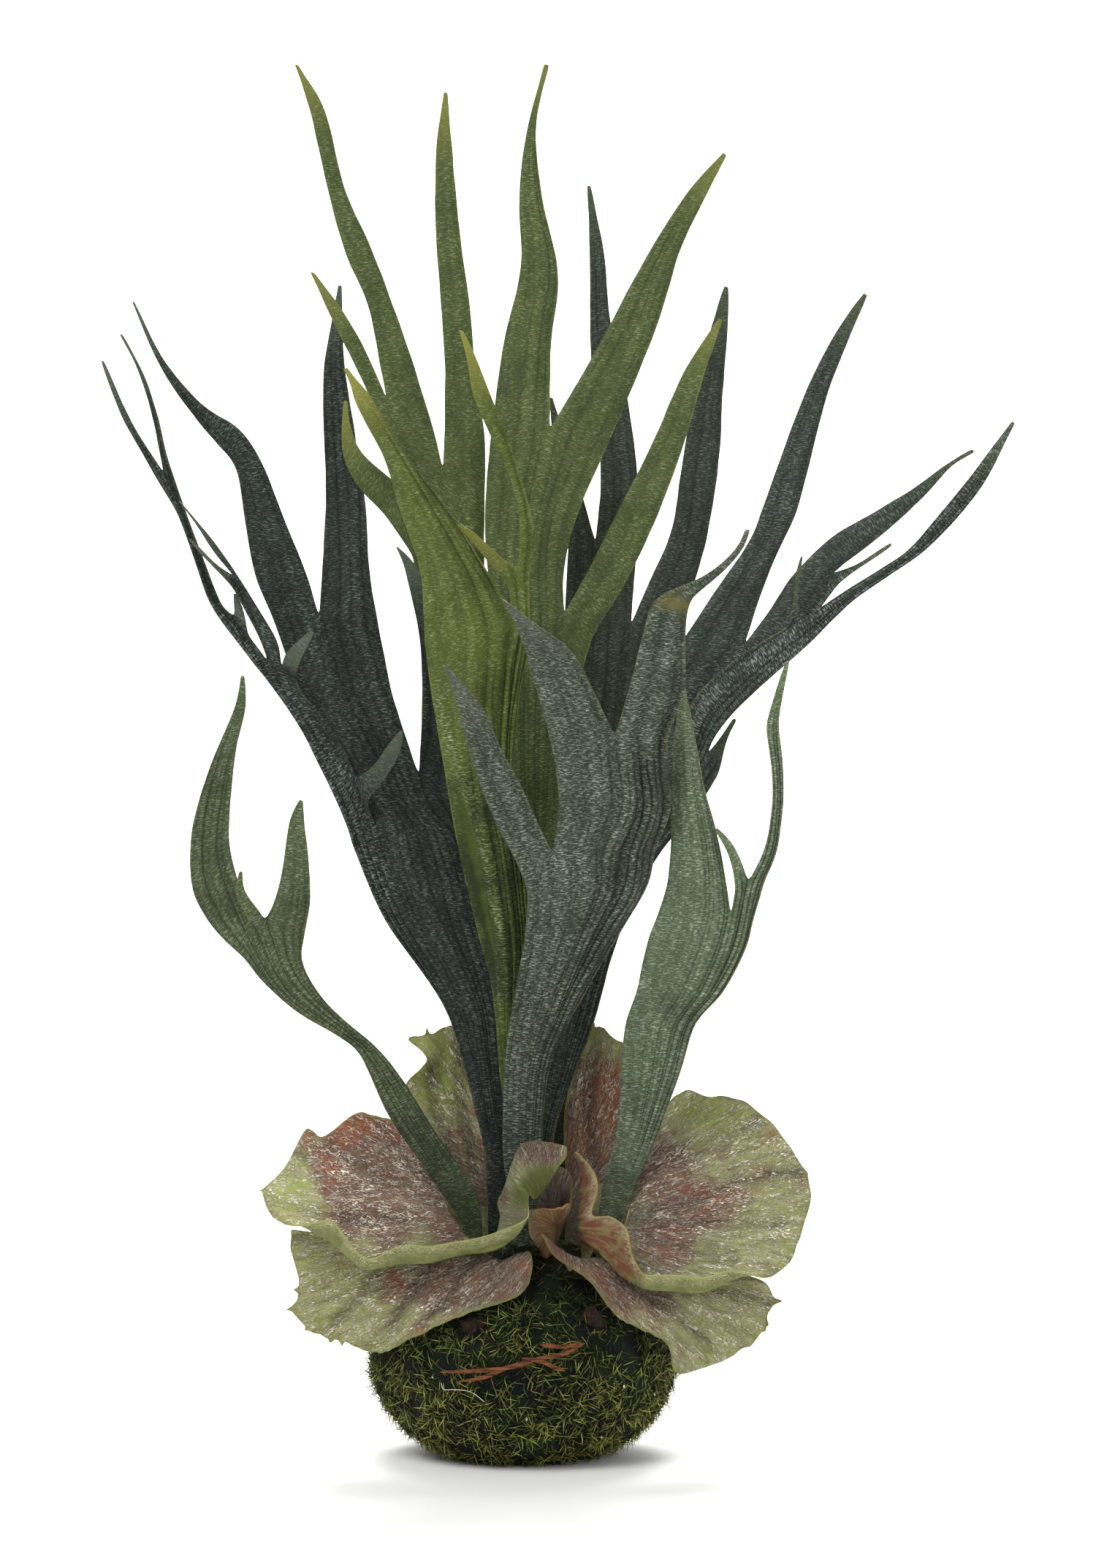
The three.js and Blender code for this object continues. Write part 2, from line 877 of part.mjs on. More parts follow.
            rows: [
              [86.2, 289, 88, 289.2, -4],
              [87, 299, 88.4, 299, -5],
              [88.8, 306.8, 89.8, 306.8, -5],
            ],
          },
          {
            ribs: 2,
            rows: [
              [102, 293.6, 105.6, 290.6, -3],
              [117.4, 303.2, 120, 300.8, -5],
              [127, 310.2, 130, 307.6, -6],
              [137.6, 322.6, 141.6, 319, -7],
              [147, 334, 151.4, 331.2, -8],
              [155, 345, 157.6, 343, -9],
              [161.2, 353, 162.2, 352.4, -9],
            ],
          },
        ],
      },
      {
        ribs: 1,
        rows: [
          [60.6, 243.6, 63.4, 243.4, 13],
          [65.8, 251.4, 67, 250.8, 16],
        ],
      },
    ],
  },

  frond_right_low: {
    colour: 0x6d8a65,
    lean: -6,
    ribs: 6,
    rows: [
      [19.4, 60, 27.4, 60, -13],
      [19.4, 78, 27.4, 78, -13],
      [21.8, 93, 32.6, 93, -15, 0, 1],
      [25.4, 106, 38, 106, -16, 0, 2],
      [27, 118, 43, 118.5, -17, 0, 2],
      [27.6, 133, 48.4, 132, -18, 0, 3],
      [29.3, 148, 53, 147.5, -18, 1, 3],
      [32.8, 157, 61, 156, -18, 2, 3],
      [36.3, 174, 70, 172, -18, 2, 3],
      [40, 184, 72.8, 183, -18, 2, 3],
    ],
    notches: [[64.9, 184.4]],
    forks: [
      {
        ribs: 4,
        crease: true,
        rows: [
          [43.4, 195, 63.5, 195, -17, 0, 3],
          [44.7, 210, 60.8, 210, -15, 0, 4],
          [44.8, 226, 56.4, 226, -13, 0, 4],
          [45.6, 241, 53.4, 241, -12, 0, 3],
          [46.8, 253.6, 51.2, 253.4, -12, 0, 1],
          [48, 263.2, 49.2, 262.8, -12],
        ],
      },
      {
        ribs: 2,
        rows: [
          [66.9, 193, 76.2, 195, -17],
        ],
        notches: [[70.8, 195]],
        forks: [
          {
            ribs: 1,
            rows: [
              [65.8, 200, 69.4, 200.6, -18],
              [62.8, 208, 65.4, 209.2, -20],
              [59.4, 213.4, 60.6, 213.8, -21],
            ],
          },
          {
            ribs: 1,
            rows: [
              [76.8, 207.4, 81, 206.6, -17],
              [79.5, 225, 83.1, 225, -17],
              [78.4, 240, 82.4, 240, -18],
              [77, 249, 81.4, 249, -19],
              [80.4, 261, 83.2, 261, -19],
              [83.8, 271, 85.2, 271, -19],
            ],
          },
        ],
      },
    ],
  },

  frond_left_low: {
    colour: 0x55704f,
    lean: -9,
    ribs: 5,
    rows: [
      [-27, 60, -20, 60, -15],
      [-27, 78, -20, 78, -15],
      [-32.4, 88, -22.4, 89.6, -17, 0, 1],
      [-37.6, 95.6, -28.6, 99.4, -19, 0, 1],
      [-44.6, 106, -36, 109.6, -22, 0, 2],
      [-51.8, 116.6, -42.6, 120.4, -25, 0, 2],
      [-57, 127, -49, 130.6, -27, 0, 1],
      [-62.4, 137.6, -56.4, 139, -28],
      [-71, 144, -66.4, 147.4, -28],
      [-82.4, 150.6, -75.6, 157, -28, 0, 1],
      [-93.6, 160, -81.6, 168, -27, 0, 1],
      [-101.4, 169.4, -81, 177, -27, 0, 1],
    ],
    notches: [[-99, 178], [-94.4, 182.4]],
    forks: [
      {
        ribs: 2,
        rows: [
          [-111.4, 179, -101.6, 188, -25, 0, 1],
          [-119, 193, -105.8, 204, -24, 0, 1],
          [-119.5, 210, -106.8, 211.6, -25, 0, 1],
          [-117, 223, -106.2, 223.6, -26, 0, 1],
          [-111.6, 239, -104.2, 240.6, -28],
          [-104.4, 256, -100.8, 255.6, -30],
          [-102.6, 266, -101.4, 265.8, -31],
        ],
      },
      {
        ribs: 1,
        rows: [
          [-100.8, 184.4, -96.6, 186, -31],
          [-104.6, 191.4, -101.4, 192.4, -34],
          [-103.2, 199, -102, 199, -35],
        ],
      },
      {
        ribs: 2,
        rows: [
          [-91.4, 188, -78.8, 188, -29, 0, 1],
          [-88.2, 200.6, -79.2, 200.6, -31],
          [-86, 216.6, -80.8, 215.4, -33],
          [-82.6, 223.6, -81.2, 223, -34],
        ],
      },
    ],
  },
};

// Shield fronds
//
// A shield is a run of cross lines of points, each [x, z, depth] in the front view or a point of its
// own. Its free edges are waved and cut into small teeth.

function shield({ lines, across, along, waves }) {
  const placed = lines.map((line) => line.map((point) => (
    Array.isArray(point) ? fromFront(...point) : point
  )));
  const sheet = new Sheet();
  let last = null;
  for (let row = 0; row <= along; row += 1) {
    const share = row / along;
    const guides = placed[0].map((_, i) => between(placed.map((line) => line[i]), share));
    const points = [];
    for (let column = 0; column <= across; column += 1) {
      points.push(between(guides, column / across));
    }
    ruffle(points, row, along, waves);
    const indices = sheet.addRow(points);
    if (last) sheet.bridge(last, indices);
    last = indices;
  }
  return sheet.thicken(() => SHIELD_THICKNESS);
}

// Ripples run along a shield and grow toward its free edge, which is toothed.
function ruffle(points, row, along, { ripple, tooth, count }) {
  const across = points.length - 1;
  const phase = (2 * Math.PI * count * row) / along;
  const fade = Math.sin((Math.PI * row) / along);
  points.forEach((point, column) => {
    const outward = (column / across) ** 2;
    point.y += ripple * outward * fade * Math.sin(phase);
  });
  const edge = points[across];
  const inward = points[across - 1].clone().sub(edge).normalize();
  edge.addScaledVector(inward, row % 2 === 0 ? 0 : tooth * fade);
}

const SHIELDS = {
  shield_upper_left: {
    colour: 0x85695c,
    across: 8,
    along: 30,
    waves: { ripple: 1.2, tooth: 1.2, count: 5 },
    lines: [
      [[-91.6, 80, -28], [-93.6, 84, -25], [-94.6, 86.6, -22], [-95, 88, -20], [-95.4, 90, -18]],
      [[-84.6, 77.8, -39], [-85, 80, -34.6], [-86, 84, -28], [-87.5, 91, -17], [-87.4, 98, -8]],
      [[-76.6, 79, -44.6], [-77, 75, -40], [-78, 84, -29], [-80, 97, -14], [-80.6, 110, -2]],
      [[-70.6, 78.6, -47], [-70, 70.8, -43], [-71, 82, -29], [-72, 96, -14], [-73.6, 109, 0]],
      [[-60, 66.4, -51], [-60, 63.8, -46], [-61, 78, -31], [-62, 97, -12], [-63.6, 116, 3]],
      [[-49, 70.6, -51.4], [-49, 65.2, -47], [-50, 78, -32], [-50, 95, -12], [-52, 114.6, 4]],
      [[-38, 70.8, -51], [-38, 65.6, -46.6], [-38, 74, -36], [-40, 86, -20], [-42, 107, 2]],
      [[-33, 71.6, -50.4], [-33, 67, -45.8], [-33, 72.8, -37], [-33.6, 80, -26], [-34.6, 92, -9.6]],
      [[-28, 72.4, -49.6], [-28, 68.2, -45], [-28, 71.6, -38], [-28, 74.6, -31], [-30, 79.6, -23]],
      [[-20, 74, -46.6], [-20, 69, -42.6], [-19.5, 71, -37], [-18.5, 72, -30], onCrown(-18, -20.5)],
      [[-12.4, 76.6, -45], [-13, 71, -41], [-13, 74.6, -35.6], [-13, 78, -30.6], [-14, 80, -26]],
      [[-5, 80, -43.6], [-6.6, 77.6, -40], [-9, 79.6, -35.6], [-12, 83, -31], [-15, 86, -27]],
      [[-4.2, 84, -42], [-6.6, 86.4, -39], [-8.6, 88, -35], [-10.6, 90, -30.6], [-12.6, 91, -26]],
      [[-4.2, 87.4, -39.4], [-8, 95, -38], [-8.4, 98, -34], [-9, 99, -29], [-9.4, 100, -25]],
      [[-3.6, 88.6, -37], [-6, 98.8, -37.5], [-6, 102, -33], [-6.2, 104, -28], [-6, 106, -24]],
      [[-2, 87, -34], [-1, 98.8, -36.5], [0, 102, -32], [1, 104.6, -28], [1, 106.6, -24]],
      [[2, 91.5, -33], [5.5, 97.2, -34], [7.8, 100, -31], [9, 102.5, -28], [8.8, 105, -25]],
    ],
  },

  shield_lower_left: {
    colour: 0x93a070,
    across: 7,
    along: 20,
    waves: { ripple: 0.9, tooth: 1.8, count: 3 },
    lines: [
      [onCrown(-8.6, -26, 1.2), [-4, 69, -36], [-2.8, 64, -41], [-4, 58, -44]],
      [onCrown(-15, -25, 1.2), [-12, 66, -38], [-11, 60, -44], onBall(-9, 52.6, 4)],
      [[-27, 72, -30], [-26, 66, -38], [-27, 56, -45], onBall(-27, 46.4, 4)],
      [[-42, 73, -30], [-42, 65, -36], [-43, 52, -41], onBall(-44, 38.4, 7)],
      [[-56, 74, -28], [-56, 64, -32], [-56, 49, -34], [-55, 33.6, -33]],
      [[-70, 75, -26], [-69, 64, -28], [-68, 51, -28], [-67, 37, -28]],
      [[-80, 76, -25], [-79, 65, -25], [-77, 53, -24], [-77.6, 40.6, -24]],
      [[-85.5, 76.6, -24], [-84.6, 67, -23], [-82.6, 58, -21], [-85.6, 49, -20]],
    ],
  },

  shield_rear_left: {
    colour: 0xa39a3f,
    across: 10,
    along: 10,
    waves: { ripple: 0.8, tooth: 1, count: 2 },
    lines: [
      [
        onCrown(-17.6, 4.6), [-18, 92, 10], [-18, 111, 13], [-18.4, 121, 14.6], [-19, 128, 16],
        [-20, 137, 17], [-22, 147.4, 18],
      ],
      [
        onCrown(-22, 4.6), [-25, 93, 9], [-29, 112, 13], [-31, 122, 16], [-31, 129, 18],
        [-31.4, 137, 19], [-32, 146.6, 20],
      ],
      [
        onCrown(-26, 4.6), [-31.6, 96, 8], [-39, 113, 11], [-46.4, 125, 14], [-41, 131.6, 12],
        [-39, 135.4, 11], [-44.6, 141.4, 14],
      ],
    ],
  },

  shield_rear_right: {
    colour: 0x7d5641,
    across: 6,
    along: 10,
    waves: { ripple: 0.8, tooth: 1, count: 2 },
    lines: [
      [onCrown(23, 2), [25, 88, 4], [29, 106, 5], [35, 120, 6], [35, 136, 9]],
      [onCrown(18.5, 2), [19, 88, 4], [19, 106, 6.5], [19.6, 124, 9], [20, 146.5, 11]],
      [onCrown(11, 2), [9.6, 88, 5], [7.8, 108, 7.5], [9, 122, 8], [14.4, 139, 10]],
    ],
  },

  shield_upper_right: {
    colour: 0x9aa56f,
    across: 8,
    along: 28,
    waves: { ripple: 1.2, tooth: 0.9, count: 5 },
    lines: [
      [[85, 65, -32], [88, 71, -29], [90, 78, -24], [92.6, 88, -18], [90.4, 97, -12]],
      [[77.4, 60, -40], [78.4, 64.6, -35.6], [80, 76, -26], [82, 92, -13], [80.6, 111, -2]],
      [[65.6, 62.6, -47.6], [66, 60.4, -42], [68, 74, -29], [70, 94, -12], [70, 120, 3]],
      [[55.6, 60, -50.6], [56, 55.8, -45], [57, 72, -30], [58, 95, -12], [59, 123, 6]],
      [[45, 61, -51.6], [45, 56, -46.6], [46, 70, -33], [47, 92, -14], [46, 122.6, 6]],
      [[36, 61, -52], [36, 57, -46.6], [36, 67, -36], [36.6, 82, -22], [36, 106, 1]],
      [[33.4, 64, -51], [32, 58.6, -46], [31.6, 66, -37], [31.6, 75, -27], [31.8, 90, -9.6]],
      [[31, 69, -50], [28, 61, -44.6], [27, 66, -38], [27, 71, -31], [27.6, 76, -24]],
      [[29.6, 76.6, -46], [22, 68, -41.6], [20, 69.6, -35], [20, 71.6, -29], [20.6, 74, -22]],
      [[24, 81, -39], [15.6, 76, -36], [14.6, 73.6, -31], [14.6, 70, -26], onCrown(15, -20.5, 0)],
      [[17.6, 81.6, -36], [14.4, 80.6, -33.4], [13.4, 79.6, -29.4], [13.4, 78.8, -26], [14, 78, -22]],
      [[19.6, 90, -31], [16.6, 89, -28.6], [14.4, 88.4, -25.6], [13.8, 87.8, -22.6], [13.8, 88, -19]],
      [[18.4, 96, -28], [16.2, 96.4, -26], [14.6, 96.6, -24], [13.8, 96.8, -22], [13.6, 97, -19]],
      [[13.4, 102, -25], [12.8, 102.6, -24], [12.4, 102.8, -22.6], [12, 103, -21], [11.6, 103, -19.4]],
    ],
  },

  shield_lower_right: {
    colour: 0x97a075,
    across: 6,
    along: 18,
    waves: { ripple: 0.8, tooth: 1, count: 3 },
    lines: [
      [onCrown(9.6, -29), [6.4, 69, -35], [3.4, 72.6, -37.4], [0.2, 75.4, -38.6]],
      [[15, 66, -33], [12, 66.6, -36.5], [8, 67.4, -38.5], [4.6, 67.4, -40]],
      [[26, 66, -33], [23, 64, -37.6], [19, 61.4, -41.6], [16, 59, -43]],
      [[40, 64, -31], [35, 58, -38], [29, 51.6, -43], [25, 47, -45]],
      [[53, 64, -30], [47, 56, -37], [40, 48, -42], [33, 42.6, -43]],
      [[65, 62, -30], [58, 54, -35], [50, 45, -38], [43, 37, -39]],
      [[76, 59, -30], [66, 48, -33], [56, 36, -35], [46, 27.4, -36]],
      [[80, 53, -29], [76, 42, -30], [66, 33.6, -31], [56, 29.4, -32]],
    ].map((line) => line.toReversed()),
  },

  shield_centre: {
    colour: 0x8a5646,
    across: 8,
    along: 8,
    waves: { ripple: 0.3, tooth: 0.5, count: 1 },
    lines: [
      [[-4.5, 83.2, -34.6], [-3.8, 75, -32], [-2, 73.4, -27], [-1.6, 80, -22.6], [-1, 87, -22]],
      [[2, 83.8, -36.4], [1, 75.6, -33], onCrown(2, -23.5), [3, 80, -21], [4, 93, -21]],
      [[7, 84, -34.6], [5.6, 79, -31], [6, 74, -25], [7.6, 83, -20.6], [8.4, 97.4, -21.6]],
      [[9.8, 85.6, -31.4], [10, 83.4, -28], [10.2, 85, -25], [10.6, 89, -23.4], [11, 94, -22.8]],
    ],
  },
};

// Moss ball, flat below, with a plain hole for each stalk

function mossBall() {
  const vertices = [ballPoint(0, Math.PI / 2)];
  const lowest = -Math.asin(BALL.z / BALL.halfHeight);
  const step = (Math.PI / 2 - lowest) / BALL_RINGS;
  for (let ring = 1; ring <= BALL_RINGS; ring += 1) {
    for (let spoke = 0; spoke < BALL_SPOKES; spoke += 1) {
      const point = ballPoint((2 * Math.PI * spoke) / BALL_SPOKES, Math.PI / 2 - ring * step);
      if (ring === BALL_RINGS) point.z = 0;
      vertices.push(point);
    }
  }
  vertices.push(new THREE.Vector3(0, 0, 0));
  const bottom = vertices.length - 1;
  const at = (ring, spoke) => 1 + (ring - 1) * BALL_SPOKES + (spoke % BALL_SPOKES);
  const faces = [];
  for (let spoke = 0; spoke < BALL_SPOKES; spoke += 1) {
    faces.push([0, at(1, spoke), at(1, spoke + 1)]);
    for (let ring = 1; ring < BALL_RINGS; ring += 1) {
      const [a, b] = [at(ring, spoke), at(ring, spoke + 1)];
      const [c, d] = [at(ring + 1, spoke), at(ring + 1, spoke + 1)];
      faces.push([a, c, d], [a, d, b]);
    }
    faces.push([bottom, at(BALL_RINGS, spoke + 1), at(BALL_RINGS, spoke)]);
  }
  let ball = toManifold(solid(vertices, faces));
  for (const branch of Object.values(FRONDS)) {
    ball = ball.subtract(toManifold(welded(stalkHole(branch))));
  }
  return fromManifold(ball);
}

function welded(geometry) {
  const seen = new Map();
  const vertices = [];
  const position = geometry.attributes.position;
  const point = new THREE.Vector3();
  const renamed = [...geometry.index.array].map((index) => {
    point.fromBufferAttribute(position, index);
    const key = point.toArray().map((value) => value.toFixed(5)).join();
    if (!seen.has(key)) seen.set(key, vertices.push(point.clone()) - 1);
    return seen.get(key);
  });
  const faces = [];
  for (let i = 0; i < renamed.length; i += 3) faces.push(renamed.slice(i, i + 3));
  return solid(vertices, faces);
}

// Dry needles lying on the front of the ball

function needle(route, lift) {
  const points = route.map(([x, z]) => onBall(x, z, lift));
  const curve = new THREE.CatmullRomCurve3(points);
  const steps = Math.max(4, Math.round(curve.getLength() / 4));
  const rings = [];
  const vertices = [];
  const sideways = new THREE.Vector3();
  const outward = new THREE.Vector3();
  for (let step = 0; step <= steps; step += 1) {
    const share = step / steps;
    const centre = curve.getPointAt(share);
    const along = curve.getTangentAt(share);
    outward.set(centre.x, centre.y, centre.z - BALL.z).normalize();
    sideways.crossVectors(along, outward).normalize();
    outward.crossVectors(sideways, along).normalize();
    const radius = NEEDLE_RADIUS * (0.55 + 0.45 * Math.sin(Math.PI * share));
    const ring = [];
    for (let side = 0; side < NEEDLE_SIDES; side += 1) {
      const angle = (2 * Math.PI * side) / NEEDLE_SIDES;
      const point = centre.clone().addScaledVector(sideways, radius * Math.cos(angle));
      point.addScaledVector(outward, radius * Math.sin(angle));
      ring.push(vertices.push(point) - 1);
    }
    rings.push(ring);
  }
  const faces = [];
  for (let i = 0; i < steps; i += 1) {
    for (let side = 0; side < NEEDLE_SIDES; side += 1) {
      const next = (side + 1) % NEEDLE_SIDES;
      const [a, b] = [rings[i][side], rings[i][next]];
      const [c, d] = [rings[i + 1][side], rings[i + 1][next]];
      faces.push([a, d, b], [a, c, d]);
    }
  }
  for (let side = 1; side + 1 < NEEDLE_SIDES; side += 1) {
    const [first, last] = [rings[0], rings[steps]];
    faces.push([first[0], first[side], first[side + 1]], [last[0], last[side + 1], last[side]]);
  }
  return solid(vertices, faces);
}

const NEEDLE_LIFT = NEEDLE_RADIUS + 0.8;
const NEEDLES = [
  [[-34, 28], [-19, 28.4], [-11, 30], [-1.5, 31], [4, 29], [8, 28]],
  [[-28, 24.4], [-19, 26.4], [-11, 30], [-1.5, 31.6], [5.4, 32.6], [11.5, 34.5], [15, 38]],
  [[0, 37], [7.7, 36.2], [15, 38]],
];

function needles() {
  const shapes = NEEDLES.map((route) => toManifold(needle(route, NEEDLE_LIFT)));
  return fromManifold(shapes.reduce((bunch, shape) => bunch.add(shape)));
}

// The whole plant

const plant = new THREE.Group();

function add(name, geometry, colour, roughness) {
  const material = new THREE.MeshStandardMaterial({ color: colour, roughness, metalness: 0 });
  const mesh = new THREE.Mesh(geometry, material);
  mesh.name = name;
  plant.add(mesh);
}

add('moss_ball', mossBall(), 0x3d4a24, 0.95);
for (const [name, branch] of Object.entries(FRONDS)) add(name, frond(branch), branch.colour, 0.7);
for (const [name, form] of Object.entries(SHIELDS)) add(name, shield(form), form.colour, 0.8);
add('dry_needles', needles(), 0x9a5a42, 0.8);

export default plant;
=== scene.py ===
# %% [markdown]
# # A staghorn fern on a moss ball
#
# A staghorn fern has two kinds of leaves. Antler fronds stand up and fork into prongs, and round
# shield fronds clasp what the fern grows on. This one has nine antler fronds and seven shields on
# a ball of moss. The solids of the frame give every leaf its place. This lesson makes each leaf
# again from the same measured cross lines, with a mesh fine enough for flutes, felt and thin
# margins, and then grows the moss on the ball.

import math
import random
from functools import partial

import bmesh
import bpy
from mathutils import Matrix, Vector, noise


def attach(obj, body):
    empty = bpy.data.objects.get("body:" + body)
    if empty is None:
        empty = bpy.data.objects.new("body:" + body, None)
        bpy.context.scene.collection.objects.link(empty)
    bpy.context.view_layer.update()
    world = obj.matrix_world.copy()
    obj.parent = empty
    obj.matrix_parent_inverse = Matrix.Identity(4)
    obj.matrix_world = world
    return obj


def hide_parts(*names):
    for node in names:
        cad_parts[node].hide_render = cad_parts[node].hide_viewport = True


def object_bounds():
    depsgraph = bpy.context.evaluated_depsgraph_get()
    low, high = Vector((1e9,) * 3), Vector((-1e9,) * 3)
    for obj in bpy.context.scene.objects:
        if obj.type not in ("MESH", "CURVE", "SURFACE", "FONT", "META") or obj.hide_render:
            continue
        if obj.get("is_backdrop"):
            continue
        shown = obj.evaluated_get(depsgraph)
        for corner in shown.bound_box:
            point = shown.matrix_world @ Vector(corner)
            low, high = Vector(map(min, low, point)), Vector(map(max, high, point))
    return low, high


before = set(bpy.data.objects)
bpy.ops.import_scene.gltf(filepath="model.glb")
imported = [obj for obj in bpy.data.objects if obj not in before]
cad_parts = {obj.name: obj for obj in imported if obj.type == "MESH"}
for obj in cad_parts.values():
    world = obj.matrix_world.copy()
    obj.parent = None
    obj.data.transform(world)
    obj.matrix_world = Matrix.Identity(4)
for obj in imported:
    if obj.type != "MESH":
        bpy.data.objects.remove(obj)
cad_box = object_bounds()
MM = 0.001
print("nodes in the frame:", len(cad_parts))

# %% [markdown]
# ## The view
#
# The outlines of the leaves were measured on a front view. It is seen from 1.4 m away, level with
# the middle of the plant, and 4 pixels are 1 mm there. A long lens far away keeps the leaves'
# proportions, where a wide lens close by would swell the nearest ones. The lens follows from
# the sensor: the picture's 2146 pixels are 536.5 mm of the plant's plane.

# %% Camera
EYE = Vector((8, -1400, 229))
PIXELS_PER_MM = 4
PICTURE_HEIGHT = 2146
SENSOR_HEIGHT = 36

camera_data = bpy.data.cameras.new("camera")
camera_data.sensor_fit = "VERTICAL"
camera_data.sensor_height = SENSOR_HEIGHT
camera_data.lens = SENSOR_HEIGHT * -EYE.y * PIXELS_PER_MM / PICTURE_HEIGHT
camera = bpy.data.objects.new("camera", camera_data)
camera.location = EYE * MM
camera.rotation_euler = (math.pi / 2, 0, 0)
bpy.context.scene.collection.objects.link(camera)
bpy.context.scene.camera = camera
print("lens, mm:", round(camera_data.lens, 1))

# %% [markdown]
# ## Colours and nodes
#
# Colours are easiest to pick as sRGB hex values, but a shader adds and multiplies light, so it
# wants linear numbers. One function turns one into the other. A material is a small graph of
# nodes, and one helper adds a node, sets it and links its inputs, so that a recipe reads from
# top to bottom.

# %% Helpers for materials
def linear(hexa):
    """An sRGB hex colour as linear red, green, blue and alpha."""
    shares = [int(hexa[i:i + 2], 16) / 255 for i in (1, 3, 5)]
    return [s / 12.92 if s <= 0.04045 else ((s + 0.055) / 1.055) ** 2.4 for s in shares] + [1]


def add_node(material, kind, inputs=(), **settings):
    """A new shader node of this kind, with its inputs by socket or as a list in socket order.

    Each input is a value, or another node's output to link.
    """
    node = material.node_tree.nodes.new("ShaderNode" + kind)
    for name, value in settings.items():
        setattr(node, name, value)
    for socket, value in inputs.items() if isinstance(inputs, dict) else enumerate(inputs):
        if isinstance(value, bpy.types.NodeSocket):
            material.node_tree.links.new(value, node.inputs[socket])
        else:
            node.inputs[socket].default_value = value
    return node.outputs


# A MapRange list holds the value, the limits it is read between and the limits it is spread to.
# These are the sockets of a Mix node that mixes colours
SHARE, FIRST, SECOND, MIXED = 0, 6, 7, 2


def new_material(name):
    """A material, the function that adds its nodes, and its main shader."""
    material = bpy.data.materials.new(name)
    material.use_nodes = True
    return material, partial(add_node, material), material.node_tree.nodes["Principled BSDF"]


def finish_surface(surface, colour, values, height=None, depth=0.0):
    """Gives the surface its colour and constant values, and a relief this deep in metres."""
    tree = surface.id_data
    tree.links.new(colour, surface.inputs["Base Color"])
    for socket, value in values.items():
        surface.inputs[socket].default_value = value
    if height is not None:
        bump = tree.nodes.new("ShaderNodeBump")
        bump.inputs["Distance"].default_value = depth
        tree.links.new(height, bump.inputs["Height"])
        tree.links.new(bump.outputs["Normal"], surface.inputs["Normal"])


print("mid grey in linear light:", round(linear("#808080")[0], 3))

# %% [markdown]
# ## From the front view into space
#
# Every leaf is a run of cross lines, measured on the front view, and each has a depth. A point
# farther back is drawn smaller, so it is moved out along its line of sight. The plant then keeps
# its front view exactly, and the depths can be chosen freely.

# %% Places
FROND_MIDDLE = 5.5
MARK_CORE, MARK_REACH = 0.25, 1.15


def from_front(x, z, depth):
    """The point, in mm, that the front view shows at x, z, when it lies at this depth."""
    grow = 1 - depth / EYE.y
    side = x + FROND_MIDDLE - EYE.x
    return Vector((EYE.x + side * grow, depth, EYE.z + (z - EYE.z) * grow))


def front_view(point):
    """Where the front view shows a point, in its own x and z."""
    grow = 1 - point.y / EYE.y
    x = EYE.x - FROND_MIDDLE + (point.x - EYE.x) / grow
    return x, EYE.z + (point.z - EYE.z) / grow


def smoothstep(value, low, high):
    share = min(1, max(0, (value - low) / (high - low)))
    return share * share * (3 - 2 * share)


def falloff(share):
    """How strong a soft mark is, this share of its radius away from its middle."""
    return 1 - smoothstep(share, MARK_CORE, MARK_REACH)


def distance(path, x, z):
    """How far a place in the front view is from a path through these places."""
    spot = Vector((x, z))
    nearest = (spot - Vector(path[0])).length
    for start, end in zip(path, path[1:]):
        foot = Vector(start)
        run = Vector(end) - foot
        share = min(1, max(0, (spot - foot).dot(run) / run.length_squared))
        nearest = min(nearest, (spot - foot - run * share).length)
    return nearest


def painted(marks, x, z):
    """How strongly soft marks, each (path, radius, strength), cover a place."""
    total = 0
    for path, radius, strength in marks:
        total += strength * falloff(distance(path, x, z) / radius)
    return total


def between(points, share):
    """A point on the smooth curve through these points."""
    span = len(points) - 1
    at = min(share * span, span - 1e-9)
    index = int(at)
    t = at - index
    b, c = points[index], points[index + 1]
    a = points[index - 1] if index else 2 * b - c
    d = points[index + 2] if index + 2 <= span else 2 * c - b
    bend = 2 * a - 5 * b + 4 * c - d
    twist = 3 * b - a - 3 * c + d
    return b + 0.5 * t * (c - a + t * (bend + t * twist))


def route(stops, count):
    """Evenly spaced points on the smooth curve through these stops."""
    return [between(stops, step / count) for step in range(count + 1)]


print("a point 50 mm back is drawn at:", [round(value, 1) for value in from_front(30, 300, 50)])

# %% The ball's form
BALL = dict(z=34, half_width=53, half_depth=51, half_height=40)
TUFT_HEIGHT = 1.1
IN_FRONT_OF_BALL = -90


def tuft(around, up):
    """Height of the low tufts on the ball, in mm, by direction from its centre."""
    broad = math.sin(5 * around + 2.2 * math.sin(3 * up))
    fine = math.sin(13 * around + 1.3) * math.sin(9 * up + 0.7)
    return TUFT_HEIGHT * (0.45 * broad + 0.55 * fine) * math.cos(up) ** 2


def ball_share(point):
    """How far a point is from the ball's centre, as a share of the ball's reach that way."""
    side = point.x / BALL["half_width"]
    back = point.y / BALL["half_depth"]
    rise = (point.z - BALL["z"]) / BALL["half_height"]
    reach = math.sqrt(side ** 2 + back ** 2 + rise ** 2)
    swell = 1 + tuft(math.atan2(back, side), math.asin(rise / reach)) / BALL["half_width"]
    return reach / swell


def on_ball(x, z, lift):
    """A point on the front of the ball, as the front view shows it, lifted off it."""
    depth = IN_FRONT_OF_BALL
    while depth < 0 and ball_share(from_front(x, z, depth)) > 1 + lift / BALL["half_width"]:
        depth += 0.25
    return from_front(x, z, depth)


def on_crown(x, y, lift=0.5):
    """A point just above the top of the ball, where a shield is rooted."""
    point = Vector((x + FROND_MIDDLE, y, BALL["z"] + BALL["half_height"] * 1.2))
    while ball_share(point) > 1 + lift / BALL["half_height"]:
        point.z -= 0.1
    return point


print("the front of the ball, mm:", round(on_ball(0, 30, 0).y, 1))

